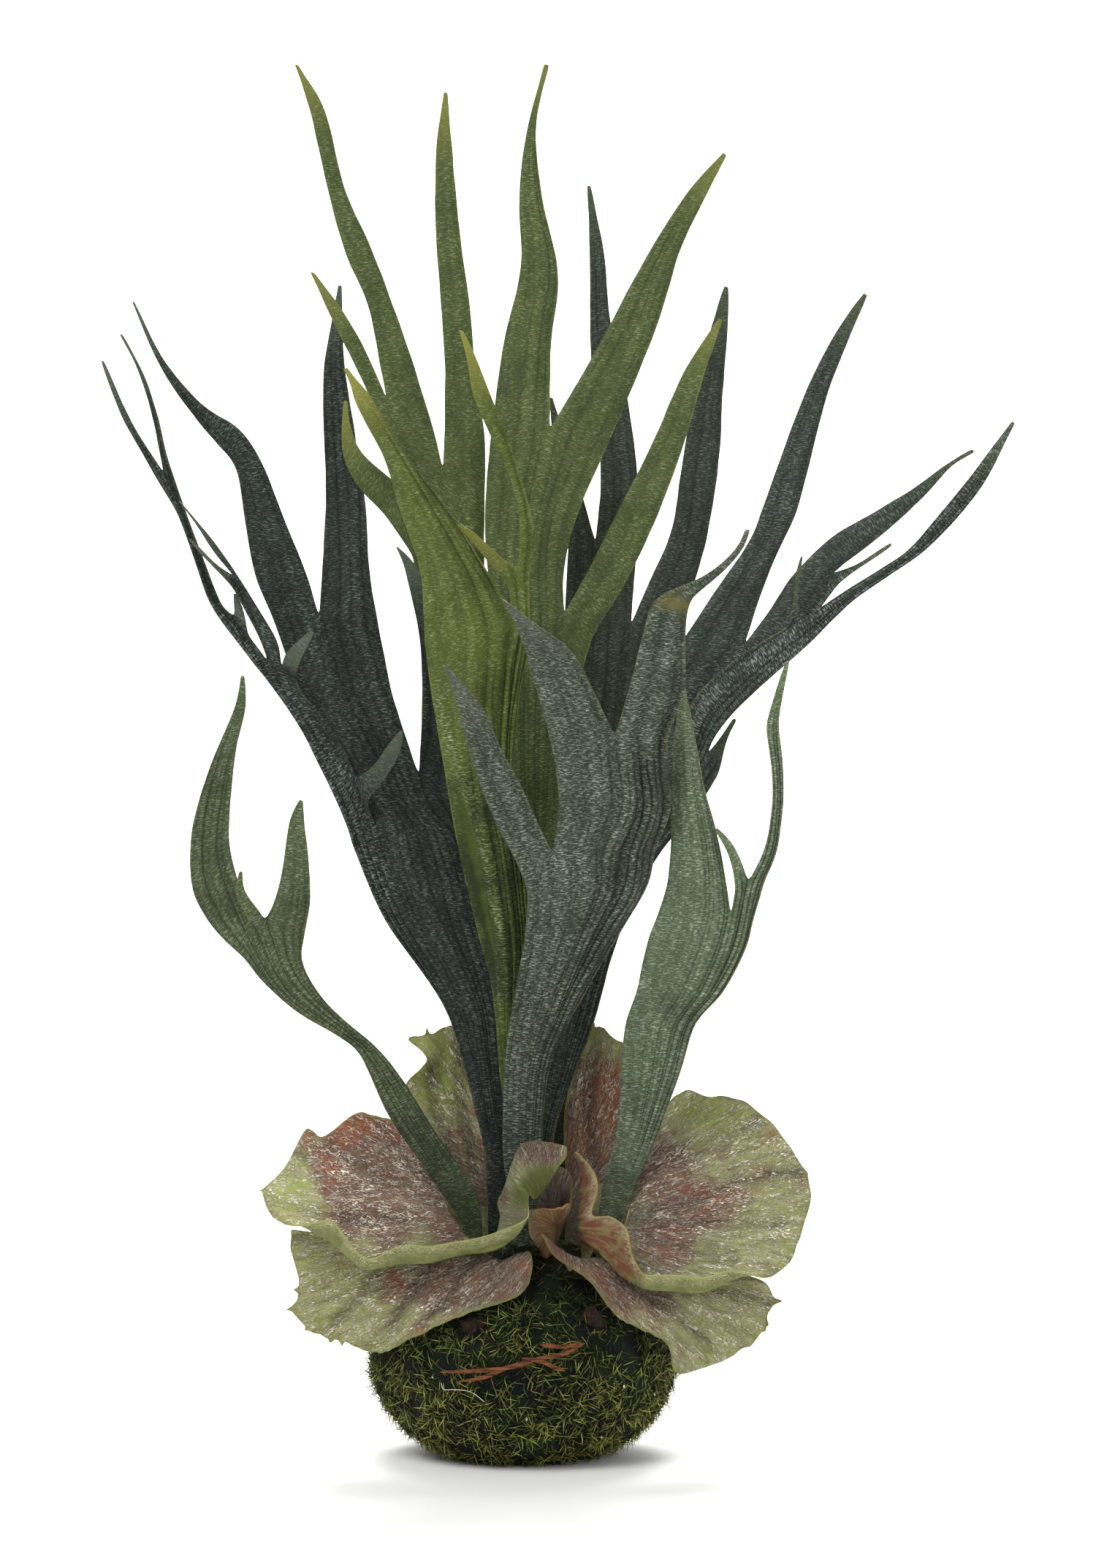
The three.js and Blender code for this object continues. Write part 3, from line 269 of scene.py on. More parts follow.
# %% [markdown]
# ## Sheets that grow row by row
#
# A leaf is a thin sheet. It could be cut from a plane and bent, but a frond widens, forks and
# turns, and a cut plane would stretch. It is grown instead, as the real one does: a row of edges
# is extruded to the next cross line, and so on to the tip. Where a frond forks, one part of the
# row is extruded into each prong, so the prongs share the row's vertices and no seam shows.
#
# Each vertex also remembers where it is on the leaf: how far across, how far along and how far
# from the margin, in mm. The felt, the flutes and the coloured margin follow the leaf that way.

# %% Sheets
CRISP_ANGLE = 50
SMOOTHING = 1


def extruded(mesh, edges):
    """Extrudes edges and gives back the new vertices."""
    made = bmesh.ops.extrude_edge_only(mesh, edges=edges)["geom"]
    return [item for item in made if isinstance(item, bmesh.types.BMVert)]


class Sheet:
    """A bmesh grown from rows of edges, with what the materials need kept at each vertex."""

    def __init__(self, names):
        self.mesh = bmesh.new()
        self.layers = {"place": self.mesh.verts.layers.float_vector.new("place")}
        for name in names:
            self.layers[name] = self.mesh.verts.layers.float.new(name)
        self.body = self.mesh.verts.layers.deform.verify()

    def first_row(self, points):
        row = [self.mesh.verts.new(point) for point in points]
        for left, right in zip(row, row[1:]):
            self.mesh.edges.new((left, right))
        return row

    def next_row(self, row, points):
        """Extrudes a row of vertices, joined by edges, to these points."""
        edges = [self.mesh.edges.get(pair) for pair in zip(row, row[1:])]
        fresh = set(extruded(self.mesh, edges))
        grown = []
        for vertex, point in zip(row, points):
            ends = [edge.other_vert(vertex) for edge in vertex.link_edges]
            twin = next(end for end in ends if end in fresh)
            twin.co = point
            grown.append(twin)
        return grown


def as_object(mesh, name, materials):
    """A smooth-shaded scene object from a bmesh in mm, with these materials."""
    bmesh.ops.scale(mesh, vec=(MM, MM, MM), verts=mesh.verts)
    data = bpy.data.meshes.new(name)
    for face in mesh.faces:
        face.smooth = True
    mesh.to_mesh(data)
    mesh.free()
    for material in materials:
        data.materials.append(material)
    made = bpy.data.objects.new(name, data)
    bpy.context.scene.collection.objects.link(made)
    return made


def finish_leaf(sheet, node, materials, thickness):
    """Turns a sheet into the piece that stands for a CAD node, with its real thickness."""
    bmesh.ops.recalc_face_normals(sheet.mesh, faces=sheet.mesh.faces)
    towards_front = sum(face.normal.y * face.calc_area() for face in sheet.mesh.faces)
    if towards_front > 0:
        bmesh.ops.reverse_faces(sheet.mesh, faces=sheet.mesh.faces)
    piece = as_object(sheet.mesh, node + "_leaf", materials)
    piece.vertex_groups.new(name="body")
    smooth = piece.modifiers.new("smooth", "SUBSURF")
    smooth.levels = SMOOTHING
    smooth.render_levels = SMOOTHING
    body = piece.modifiers.new("thickness", "SOLIDIFY")
    body.thickness = thickness * MM
    body.offset = 0
    body.vertex_group = "body"
    body.material_offset = 1 if len(materials) > 1 else 0
    body.material_offset_rim = 2 if len(materials) > 2 else 0
    return as_mesh(piece)


def as_mesh(piece):
    """Applies a piece's modifiers, and keeps its cut edges crisp."""
    graph = bpy.context.evaluated_depsgraph_get()
    graph.update()
    mesh = bpy.data.meshes.new_from_object(piece.evaluated_get(graph))
    piece.modifiers.clear()
    piece.data = mesh
    mesh.set_sharp_from_angle(angle=math.radians(CRISP_ANGLE))
    return piece


def triangles(piece):
    return sum(len(polygon.vertices) - 2 for polygon in piece.data.polygons)


print("cut edges stay crisp from", CRISP_ANGLE, "degrees")

# %% [markdown]
# ## How an antler frond is described
#
# Each cross line is (left x, left z, right x, right z, depth, turn, cup) in mm. Turn is how much
# deeper the right margin lies than the left, and cup is how far the middle stands forward. A
# frond is split across into ribs, and each fork takes its share of them. The forks of fork_2 are
# fork_21, fork_22 and so on, and they part at its notches. Lean bends the whole frond backward,
# by lean mm at 100 mm above the crown and four times that at twice the height, or forward where
# it is below nought. The lines are those of the CAD, but behind the narrow strip of frond_left
# its blade reaches up to 5 mm farther out, so that no gap shows between the two.

# %% The measured cross lines of the nine fronds
FRONDS = dict(
    frond_front=dict(
        stalk=dict(ribs=6, lean=-7, notches=[(4.2, 205)], rows=[(-9.5, 60, -1.5, 60, -9),
            (-9.5, 78, -1.5, 78, -9), (-12.3, 100, 0.2, 100, -10, 0, 1),
            (-12.3, 118, 1, 117, -11, 0, 2), (-12, 135, 3.2, 134, -12, 0, 3),
            (-10.3, 149.5, 10.8, 150.5, -14, 1, 4), (-7.4, 164, 17.5, 163, -16, 2, 4),
            (-5, 179, 26.5, 178, -18, 3, 4), (-4.6, 192, 36, 193, -20, 4, 5),
            (-8.5, 203, 39, 206, -21, 4, 5)]),
        fork_1=dict(ribs=2, rows=[(-14, 213, -0.8, 214.5, -25, 0, 2), (-20, 227, -6.7, 228, -27, 0, 2),
            (-25, 242, -13, 240, -28, 0, 1), (-29.2, 258, -20.5, 256, -30),
            (-33.4, 269.8, -31.8, 269.2, -31)]),
        fork_2=dict(ribs=4, notches=[(25.4, 245)], rows=[(6.4, 220, 44.4, 220, -22, 4, 4),
            (5.4, 234, 43.6, 233, -23, 3, 3), (3, 245, 43, 245.5, -24, 2, 3)]),
        fork_21=dict(ribs=2, rows=[(-1.7, 262, 18.4, 260.5, -26, 0, 2),
            (-5.6, 276, 10.5, 274.5, -28, 0, 1), (-9.6, 285.5, -1.5, 283.5, -30),
            (-13.6, 292.6, -12, 291.6, -31)]),
        fork_22=dict(ribs=2, rows=[(30.4, 262, 49, 261, -25, 0, 2), (34.6, 278, 49.4, 277, -26, 0, 1),
            (39.3, 292.5, 50.6, 290, -27, 0, 1), (50.6, 297.6, 54, 294.6, -28),
            (60.6, 303.2, 62.2, 301.4, -28), (68, 311, 69.8, 310, -28), (70, 316, 71.6, 316, -27)])),
    frond_yellow_green=dict(
        stalk=dict(ribs=6, lean=-3.5, crease=True, notches=[(-8.8, 284)], rows=[(-8, 60, -1, 60, -2.5),
            (-8, 78, -1, 78, -2.5), (-9.5, 100, -2.5, 100, -3), (-13.2, 125, -6, 125, -4.5, 0, 1),
            (-15, 145, -7, 145, -7, 0, 1), (-16.6, 160, -5, 160, -8.5, 0, 2),
            (-21, 176, -3, 176, -9, 0, 3), (-27, 202, -5, 202, -10, 0, 4),
            (-32, 229, -9, 229, -11, 0, 5), (-37, 258, -7.5, 258, -12, 0, 6),
            (-39.8, 277, -4.4, 272, -12, 0, 6)]),
        fork_1=dict(ribs=4, crease=True, rows=[(-41, 301, -18, 301, -14, 0, 5),
            (-48, 323, -32.5, 323.5, -16, 0, 4), (-53, 339.5, -44.2, 339, -17, 0, 3),
            (-60.5, 354, -54.2, 354.5, -17, 0, 2), (-64, 361.4, -59, 363, -16.4, 0, 1),
            (-65, 366, -62.6, 366.8, -16), (-67.4, 371, -66.2, 371.4, -15)]),
        fork_2=dict(ribs=2, notches=[(-7.8, 302.6)], rows=[(-9.6, 289, -3.8, 287, -9),
            (-11.6, 298.6, -4, 299, -6)]),
        fork_21=dict(ribs=1, rows=[(-17.5, 304.4, -13.6, 306.4, -4), (-24, 312.2, -20.8, 313.6, -3),
            (-28.4, 317.6, -27.6, 318.4, -3)]),
        fork_22=dict(ribs=1, rows=[(-7, 315, -2.2, 315, -2), (-9, 330, -6, 331, -1),
            (-17, 348, -11.8, 349, 0), (-23, 362, -16.8, 361, 0), (-25, 374, -21.6, 373.5, 0),
            (-27.8, 384.2, -26.4, 383.8, 0)])),
    frond_left=dict(
        stalk=dict(ribs=12, lean=2.5, notches=[(-57, 216)], rows=[(-18, 60, -10.5, 60, 0),
            (-18, 78, -10.5, 78, 0), (-18.2, 102, -10.6, 102, 0, 0, 1),
            (-21.4, 118, -12, 119, 0.5, 0, 2), (-26.4, 136, -12.2, 136, 2, 0, 3),
            (-32, 151.5, -12, 150, 4, 1, 4), (-41, 166, -14, 164, 5, 1, 4),
            (-54, 184.5, -17.5, 182, 5, 1, 4), (-62.5, 204, -22, 203, 5, 1, 4),
            (-65.6, 213, -24.5, 213, 5, 1, 3)]),
        fork_1=dict(ribs=7, notches=[(-63.2, 230.6)], rows=[(-69, 221.5, -59.4, 223.2, -2)]),
        fork_11=dict(ribs=6, notches=[(-93.4, 271), (-88.6, 268.8)], rows=[(-76, 236, -66.8, 240, -5),
            (-82.5, 248.8, -73.6, 250.6, -6), (-92, 262.6, -81.6, 260, -6),
            (-97.6, 269.6, -84, 266.2, -6)]),
        fork_111=dict(ribs=3, notches=[(-104.8, 286.4)], rows=[(-107.4, 282.4, -100.2, 280.4, -7)]),
        fork_1111=dict(ribs=2, notches=[(-129, 335.4)], rows=[(-113.2, 291, -109.2, 290.4, -8),
            (-119.4, 309, -115.4, 306, -9), (-124.4, 322, -120.8, 320.6, -10),
            (-130.6, 332.2, -124.8, 331.8, -10)]),
        fork_11111=dict(ribs=1, rows=[(-134.6, 339.4, -132.6, 340.8, -9),
            (-142, 352, -140.2, 353.2, -9), (-146.6, 362.6, -144.8, 363.4, -10),
            (-150.4, 373.6, -149.6, 374, -11)]),
        fork_11112=dict(ribs=1, rows=[(-130.6, 343.4, -128.2, 342, -12),
            (-133.2, 356, -131, 354.6, -12), (-138, 371, -136, 369.6, -12),
            (-144.2, 383, -143, 382.8, -13)]),
        fork_1112=dict(ribs=1, rows=[(-104.9, 289.4, -101.8, 289.2, -10),
            (-105.2, 294.2, -104.2, 294.2, -11)]),
        fork_112=dict(ribs=2, notches=[(-103.6, 299)], rows=[(-97, 281, -90.4, 278.6, -11),
            (-105.6, 296.6, -100, 294, -15)]),
        fork_1121=dict(ribs=1, rows=[(-113, 304, -112, 305.2, -20),
            (-120.4, 312.4, -119.6, 313.2, -21)]),
        fork_1122=dict(ribs=1, rows=[(-111.6, 308, -108, 306.8, -16),
            (-117.6, 317.4, -115.4, 316.4, -17), (-124, 326, -122.8, 325, -18)]),
        fork_113=dict(ribs=1, rows=[(-87.6, 273, -83, 269.6, -14), (-82.6, 278.6, -80, 275.4, -16),
            (-78.6, 281.6, -77.4, 280.8, -16)]),
        fork_12=dict(ribs=1, rows=[(-57.4, 235, -51, 234.2, -9), (-52.6, 242, -47.4, 242.2, -11),
            (-48.2, 247.4, -47, 247, -12)]),
        fork_2=dict(ribs=5, notches=[(-41.7, 231.8)], rows=[(-61, 223, -26, 219.6, 5.4, 0, 3),
            (-69, 236, -28, 228, 5, 0, 3)]),
        fork_21=dict(ribs=4, notches=[(-75.8, 286)], rows=[(-81, 257, -50.4, 257, 4, 2, 3),
            (-87, 272, -53.2, 272, 4, 2, 3), (-91.6, 286, -55.6, 286, 4, 2, 3)]),
        fork_211=dict(ribs=2, rows=[(-98, 302, -80.7, 302, 2, 0, 2),
            (-101.6, 321, -88.2, 320.5, 1, 0, 2), (-104.2, 336.5, -95, 338, -1, 0, 1),
            (-110, 344.6, -103, 350.2, -3, 0, 1), (-118, 354, -115, 358, -5),
            (-130.5, 372.4, -128.6, 373.6, -8), (-140, 394.2, -138.8, 393.8, -10)]),
        fork_212=dict(ribs=2, rows=[(-74.6, 304, -58.6, 304, 9, 0, 2),
            (-73.5, 327, -60.2, 327, 18, 0, 2), (-74.2, 350, -64, 351, 23, 0, 1),
            (-74.1, 371, -67.1, 371, 25, 0, 1), (-71.8, 386, -67.7, 387, 25),
            (-69.4, 399.6, -68, 399.4, 24)]),
        fork_22=dict(ribs=1, rows=[(-40.6, 254, -31, 254, 4), (-41.2, 277, -33.4, 277, 4),
            (-44, 292, -38, 293, 4), (-47, 304.4, -42.8, 304, 3), (-49.8, 310.4, -48.4, 309.8, 3)])),
    frond_rear_left=dict(
        stalk=dict(ribs=6, lean=1.2, notches=[(-44.6, 326)], rows=[(-16, 60, -9, 60, 9),
            (-16, 78, -9, 78, 9), (-16, 110, -9, 110, 11, 0, 1), (-17, 150, -9.5, 150, 16, 0, 1),
            (-21, 190, -11.5, 190, 20, 0, 2), (-27, 225, -14, 225, 23, 0, 2),
            (-34, 262, -17, 262, 25, 0, 3), (-41, 292, -19, 292, 26, 0, 3),
            (-43.6, 307, -19.5, 310, 26, 0, 3)]),
        fork_1=dict(ribs=1, rows=[(-54, 322, -50.4, 333, 25), (-62, 330, -57.5, 338.6, 24),
            (-67.6, 341, -62.8, 344.6, 23), (-68, 352, -65.4, 353, 23), (-67.4, 360.2, -66, 360, 23)]),
        fork_2=dict(ribs=5, notches=[(-33.5, 337)], rows=[(-46.4, 338, -19, 333, 27, 0, 2)]),
        fork_21=dict(ribs=3, notches=[(-52.6, 360.4)], rows=[(-52, 350, -36.4, 349.5, 27, 0, 1),
            (-58.6, 362, -40, 361, 27, 0, 1)]),
        fork_211=dict(ribs=1, rows=[(-64, 373, -58.4, 374, 26), (-72.4, 390, -67, 390, 25),
            (-78.8, 404.2, -77.4, 403.8, 24)]),
        fork_212=dict(ribs=2, rows=[(-54.6, 371.5, -43.5, 372, 27, 0, 1),
            (-59, 393, -51, 393.6, 27, 0, 1), (-66.8, 411, -57.6, 411.4, 26, 0, 1),
            (-73, 433, -67.2, 433, 26), (-78.6, 458, -73.6, 459, 25),
            (-84.2, 475.2, -82.8, 474.8, 25)]),
        fork_22=dict(ribs=2, rows=[(-33, 346, -19.2, 348, 27, 0, 1), (-32.5, 370, -22.4, 370, 28, 0, 1),
            (-34, 393, -24.5, 394, 28, 0, 1), (-36, 420, -28, 420, 29), (-35.8, 446, -30.4, 447, 29),
            (-33.2, 465.6, -31.8, 465.4, 29)])),
    frond_rear_centre=dict(
        stalk=dict(ribs=6, lean=2, notches=[(8, 287)], rows=[(-6, 60, 1, 60, 10.5),
            (-6, 78, 1, 78, 10.5), (-6.5, 110, 1.5, 110, 11, 0, 1), (-7, 150, 3, 150, 12, 0, 1),
            (-9, 190, 5, 190, 13, 0, 2), (-11, 225, 8, 225, 14, 0, 2),
            (-13.4, 255, 11.4, 256, 15, 0, 3), (-16, 283, 17.4, 279, 16, 0, 3)]),
        fork_1=dict(ribs=4, notches=[(3, 350)], rows=[(-18.2, 303, 8, 302, 16, 0, 3),
            (-19, 322, 12.2, 320, 17, 0, 3), (-17.4, 346, 22.4, 344, 17, 0, 3)]),
        fork_11=dict(ribs=2, rows=[(-12.8, 379, 3.6, 379, 18, 0, 2), (-6.8, 405, 5.8, 404.5, 19, 0, 1),
            (-7.4, 430, 0.4, 430, 19, 0, 1), (-4.4, 454, -1.6, 454, 20), (1.2, 475.2, 2.8, 474.8, 20)]),
        fork_12=dict(ribs=2, rows=[(12.5, 366, 31.6, 365, 17, 0, 2), (25, 388, 40.2, 387, 18, 0, 2),
            (37.5, 411.5, 47.4, 411, 19, 0, 1), (51, 432.4, 57, 431, 20), (62.4, 445, 63.6, 444, 20)]),
        fork_2=dict(ribs=2, rows=[(17.5, 304.5, 29.4, 298.5, 13, 0, 1),
            (28, 325.5, 40.6, 322.5, 12, 0, 1), (38.5, 346, 48.8, 345, 12, 0, 1),
            (49, 370, 56, 369.5, 12), (60.8, 388.4, 62.2, 387.6, 12)])),
    frond_dark_rear=dict(
        stalk=dict(ribs=6, lean=5, notches=[(30.8, 283.4)], rows=[(5, 60, 12, 60, 10.5),
            (5, 78, 12, 78, 10.5), (4, 110, 12, 110, 16, 0, 1), (4.5, 150, 14, 150, 22, 0, 1),
            (6, 190, 20, 190, 28, 0, 2), (8, 225, 31, 225, 33, 0, 2), (8, 252, 38, 251, 35, 0, 3),
            (8, 276, 45, 277, 36, 0, 3)]),
        fork_1=dict(ribs=4, notches=[(18.8, 311.4)], rows=[(8.6, 294, 31.8, 295, 36, 0, 2),
            (9.6, 309, 32.9, 309, 36, 0, 2)]),
        fork_11=dict(ribs=2, rows=[(7.6, 327, 14.6, 326.5, 35), (4.4, 345, 9.2, 345, 35),
            (2.8, 361.2, 4.2, 361, 34)]),
        fork_12=dict(ribs=2, rows=[(20.6, 335, 33.1, 335, 36, 0, 1), (18.4, 360, 29.8, 360, 37, 0, 1),
            (16.9, 384, 24.2, 385, 37), (16.8, 410, 21.6, 411, 38), (15.8, 433.6, 17.2, 433.4, 38)]),
        fork_2=dict(ribs=2, rows=[(37.6, 299.4, 52.8, 299, 36, 0, 2), (44.8, 316, 57.2, 315, 36, 0, 1),
            (48.6, 340, 60.9, 339, 37, 0, 1), (53.6, 366, 62.5, 366, 37), (59.4, 389, 64.3, 389, 37),
            (62.8, 399.2, 64.2, 398.8, 37)])),
    frond_right=dict(
        stalk=dict(ribs=9, lean=4, notches=[(47, 244), (56.4, 239)], rows=[(-3, 60, 4, 60, 4),
            (-3, 78, 4, 78, 4), (-3.6, 107, 4.2, 107.5, 3), (0, 127, 10.6, 128, 2, 0, 1),
            (4.6, 147, 18.2, 148, 2, 0, 1), (9.6, 168, 24, 169, 3, 0, 2), (15, 187, 32, 190, 5, 0, 2),
            (21, 205, 41.6, 206.6, 7, 0, 2), (26, 218, 52.4, 219, 9, 0, 2),
            (31, 234, 61, 232.6, 11, 0, 2)]),
        fork_1=dict(ribs=5, notches=[(69.6, 276.6)], rows=[(34, 245, 48.6, 250, 14.5, 0, 1),
            (40, 258, 64, 257, 17, 0, 2), (47.4, 276, 83.4, 270, 18, 0, 2)]),
        fork_11=dict(ribs=3, rows=[(59.4, 294.4, 75.4, 294, 18, 0, 2), (71, 311, 81.8, 310, 19, 0, 1),
            (76, 323, 87.6, 322, 19, 0, 1), (83, 343, 93, 342, 20, 0, 1),
            (91.2, 364.4, 98.4, 363.6, 20), (101.6, 384.6, 106.4, 383.4, 21),
            (110.4, 396.8, 111.8, 396.2, 21)]),
        fork_12=dict(ribs=2, notches=[(99.6, 301.2)], rows=[(77.4, 287, 91.6, 283.6, 20),
            (85, 299, 101.6, 297.4, 20)]),
        fork_121=dict(ribs=1, rows=[(98, 312.4, 105.6, 306, 20), (113, 321.4, 118.2, 315.6, 19),
            (127.8, 330.2, 131, 327.2, 18), (139.4, 338.9, 140.6, 337.8, 17),
            (147.6, 343.6, 148.4, 342.4, 17)]),
        fork_122=dict(ribs=1, rows=[(108.4, 304.2, 109.2, 303, 21), (119.6, 311.6, 120.2, 310.4, 21)]),
        fork_2=dict(ribs=3, notches=[(88, 284)], rows=[(49.4, 250.4, 58.8, 243.4, 7),
            (54, 260, 63.4, 250.6, 4), (68.6, 273, 74.6, 261.6, 1), (84.6, 282.6, 91.6, 276.6, -1)]),
        fork_21=dict(ribs=1, rows=[(86.2, 289, 88, 289.2, -4), (87, 299, 88.4, 299, -5),
            (88.8, 306.8, 89.8, 306.8, -5)]),
        fork_22=dict(ribs=2, rows=[(102, 293.6, 105.6, 290.6, -3), (117.4, 303.2, 120, 300.8, -5),
            (127, 310.2, 130, 307.6, -6), (137.6, 322.6, 141.6, 319, -7), (147, 334, 151.4, 331.2, -8),
            (155, 345, 157.6, 343, -9), (161.2, 353, 162.2, 352.4, -9)]),
        fork_3=dict(ribs=1, rows=[(60.6, 243.6, 63.4, 243.4, 13), (65.8, 251.4, 67, 250.8, 16)])),
    frond_right_low=dict(
        stalk=dict(ribs=6, lean=-6, notches=[(64.9, 184.4)], rows=[(19.4, 60, 27.4, 60, -13),
            (19.4, 78, 27.4, 78, -13), (21.8, 93, 32.6, 93, -15, 0, 1), (25.4, 106, 38, 106, -16, 0, 2),
            (27, 118, 43, 118.5, -17, 0, 2), (27.6, 133, 48.4, 132, -18, 0, 3),
            (29.3, 148, 53, 147.5, -18, 1, 3), (32.8, 157, 61, 156, -18, 2, 3),
            (36.3, 174, 70, 172, -18, 2, 3), (40, 184, 72.8, 183, -18, 2, 3)]),
        fork_1=dict(ribs=4, crease=True, rows=[(43.4, 195, 63.5, 195, -17, 0, 3),
            (44.7, 210, 60.8, 210, -15, 0, 4), (44.8, 226, 56.4, 226, -13, 0, 4),
            (45.6, 241, 53.4, 241, -12, 0, 3), (46.8, 253.6, 51.2, 253.4, -12, 0, 1),
            (48, 263.2, 49.2, 262.8, -12)]),
        fork_2=dict(ribs=2, notches=[(70.8, 195)], rows=[(66.9, 193, 76.2, 195, -17)]),
        fork_21=dict(ribs=1, rows=[(65.8, 200, 69.4, 200.6, -18), (62.8, 208, 65.4, 209.2, -20),
            (59.4, 213.4, 60.6, 213.8, -21)]),
        fork_22=dict(ribs=1, rows=[(76.8, 207.4, 81, 206.6, -17), (79.5, 225, 83.1, 225, -17),
            (78.4, 240, 82.4, 240, -18), (77, 249, 81.4, 249, -19), (80.4, 261, 83.2, 261, -19),
            (83.8, 271, 85.2, 271, -19)])),
    frond_left_low=dict(
        stalk=dict(ribs=5, lean=-9, notches=[(-99, 178), (-94.4, 182.4)], rows=[(-27, 60, -20, 60, -15),
            (-27, 78, -20, 78, -15), (-32.4, 88, -22.4, 89.6, -17, 0, 1),
            (-37.6, 95.6, -28.6, 99.4, -19, 0, 1), (-44.6, 106, -36, 109.6, -22, 0, 2),
            (-51.8, 116.6, -42.6, 120.4, -25, 0, 2), (-57, 127, -49, 130.6, -27, 0, 1),
            (-62.4, 137.6, -56.4, 139, -28), (-71, 144, -66.4, 147.4, -28),
            (-82.4, 150.6, -75.6, 157, -28, 0, 1), (-93.6, 160, -81.6, 168, -27, 0, 1),
            (-101.4, 169.4, -81, 177, -27, 0, 1)]),
        fork_1=dict(ribs=2, rows=[(-111.4, 179, -101.6, 188, -25, 0, 1),
            (-119, 193, -105.8, 204, -24, 0, 1), (-119.5, 210, -106.8, 211.6, -25, 0, 1),
            (-117, 223, -106.2, 223.6, -26, 0, 1), (-111.6, 239, -104.2, 240.6, -28),
            (-104.4, 256, -100.8, 255.6, -30), (-102.6, 266, -101.4, 265.8, -31)]),
        fork_2=dict(ribs=1, rows=[(-100.8, 184.4, -96.6, 186, -31), (-104.6, 191.4, -101.4, 192.4, -34),
            (-103.2, 199, -102, 199, -35)]),
        fork_3=dict(ribs=2, rows=[(-91.4, 188, -78.8, 188, -29, 0, 1),
            (-88.2, 200.6, -79.2, 200.6, -31), (-86, 216.6, -80.8, 215.4, -33),
            (-82.6, 223.6, -81.2, 223, -34)])),
)

print("branches:", {node: len(parts) for node, parts in FRONDS.items()})

# %% [markdown]
# ## Growing a frond
#
# The frond grows on the measured lines with a cross line every few millimetres. Real blades are
# never flat: broad flutes run lengthwise into the prongs, the blade waves a little, and its
# margin is slightly uneven. These could be painted as bump, but then the outline and the shadows
# would stay smooth, so each vertex is moved. Sharp folds are placed where the photograph shows
# one. The narrow pleats between the flutes are left to the material.

# %% How fronds grow
LEAN_FOOT = 80
LEAN_UNIT = 100
ROW_SPACING = 4.5
FLUTES_ACROSS = 6
FLUTE_DEPTH = 0.11
BLADE_WAVE = 0.8
MARGIN_WOBBLE = 0.3
STALK_THICKNESS = 3
BLADE_THICKNESS = 0.8
MARGIN_THINNING = 0.55
STALK_FOOT = 88
STALK_TOP = 165
TIP_LENGTH = 45
FOOT_SHADE = 0.5
FOOT_SHADE_END = 195
PLAIN_FOOT, FLUTED_FROM = 25, 60
LEAF_VALUES = ("flute", "pleat", "tip", "rib", "felt", "dry", "shade")
HAND_MARKS = ("fold", "pleat", "aged", "shade", "felt", "dry")


def with_forks(parts, name="stalk", stem="fork_"):
    """A branch of a frond's table, with its forks inside it."""
    forks = []
    while stem + str(len(forks) + 1) in parts:
        fork = stem + str(len(forks) + 1)
        forks.append(with_forks(parts, fork, fork))
    return dict(parts[name], forks=forks)


def cross_line(row, shares, lean, crease):
    left_x, left_z, right_x, right_z, depth, turn, cup = (*row, 0, 0)[:7]
    line = []
    for share in shares:
        centred = 2 * share - 1
        bulge = 1 - abs(centred) if crease else 1 - centred ** 2
        x = left_x + (right_x - left_x) * share
        z = left_z + (right_z - left_z) * share
        back = lean * (max(0, z - LEAN_FOOT) / LEAN_UNIT) ** 2
        line.append(from_front(x, z, depth + turn * (share - 0.5) - cup * bulge + back))
    return line


def strip_shares(branch, strips_per_rib):
    """Where the strips' edges lie across a branch, so that they run on into its forks."""
    stops = [0, 1]
    ribs = [branch["ribs"]]
    if branch["forks"]:
        left_x, left_z, right_x, right_z = branch["rows"][-1][:4]
        chord = Vector((right_x - left_x, right_z - left_z))
        reaches = [Vector((x - left_x, z - left_z)) for x, z in branch["notches"]]
        stops = [0, *(reach.dot(chord) / chord.length_squared for reach in reaches), 1]
        ribs = [fork["ribs"] for fork in branch["forks"]]
    shares = []
    for start, end, count in zip(stops, stops[1:], ribs):
        strips = count * strips_per_rib
        shares += [start + (end - start) * strip / strips for strip in range(strips)]
    return shares + [1]


def fork_line(branch, shares, lean, strips_per_rib):
    """The last cross line of a branch, pulled up to the notches between its forks."""
    line = cross_line(branch["rows"][-1], shares, lean, branch.get("crease"))
    left_x, left_z, right_x, right_z = branch["rows"][-1][:4]
    corners = [(left_x, left_z), *branch["notches"], (right_x, right_z)]
    first = 0
    for fork, start, end in zip(branch["forks"], corners, corners[1:]):
        strips = fork["ribs"] * strips_per_rib
        for strip in range(strips + 1):
            spot = Vector(start).lerp(Vector(end), strip / strips)
            line[first + strip] = from_front(spot.x, spot.y, line[first + strip].y)
        first += strips
    return line


print("forks of the front frond:", len(with_forks(FRONDS["frond_front"])["forks"]))

# %% A frond's sheet
def measure(points):
    """How far along a cross line each of its points lies."""
    runs = [0]
    for left, right in zip(points, points[1:]):
        runs.append(runs[-1] + (right - left).length)
    return runs


def profile(values, share):
    """Reads a run of evenly spaced values at a share of its length."""
    at = min(max(share, 0), 1) * (len(values) - 1)
    index = min(int(at), len(values) - 2)
    return values[index] + (values[index + 1] - values[index]) * (at - index)


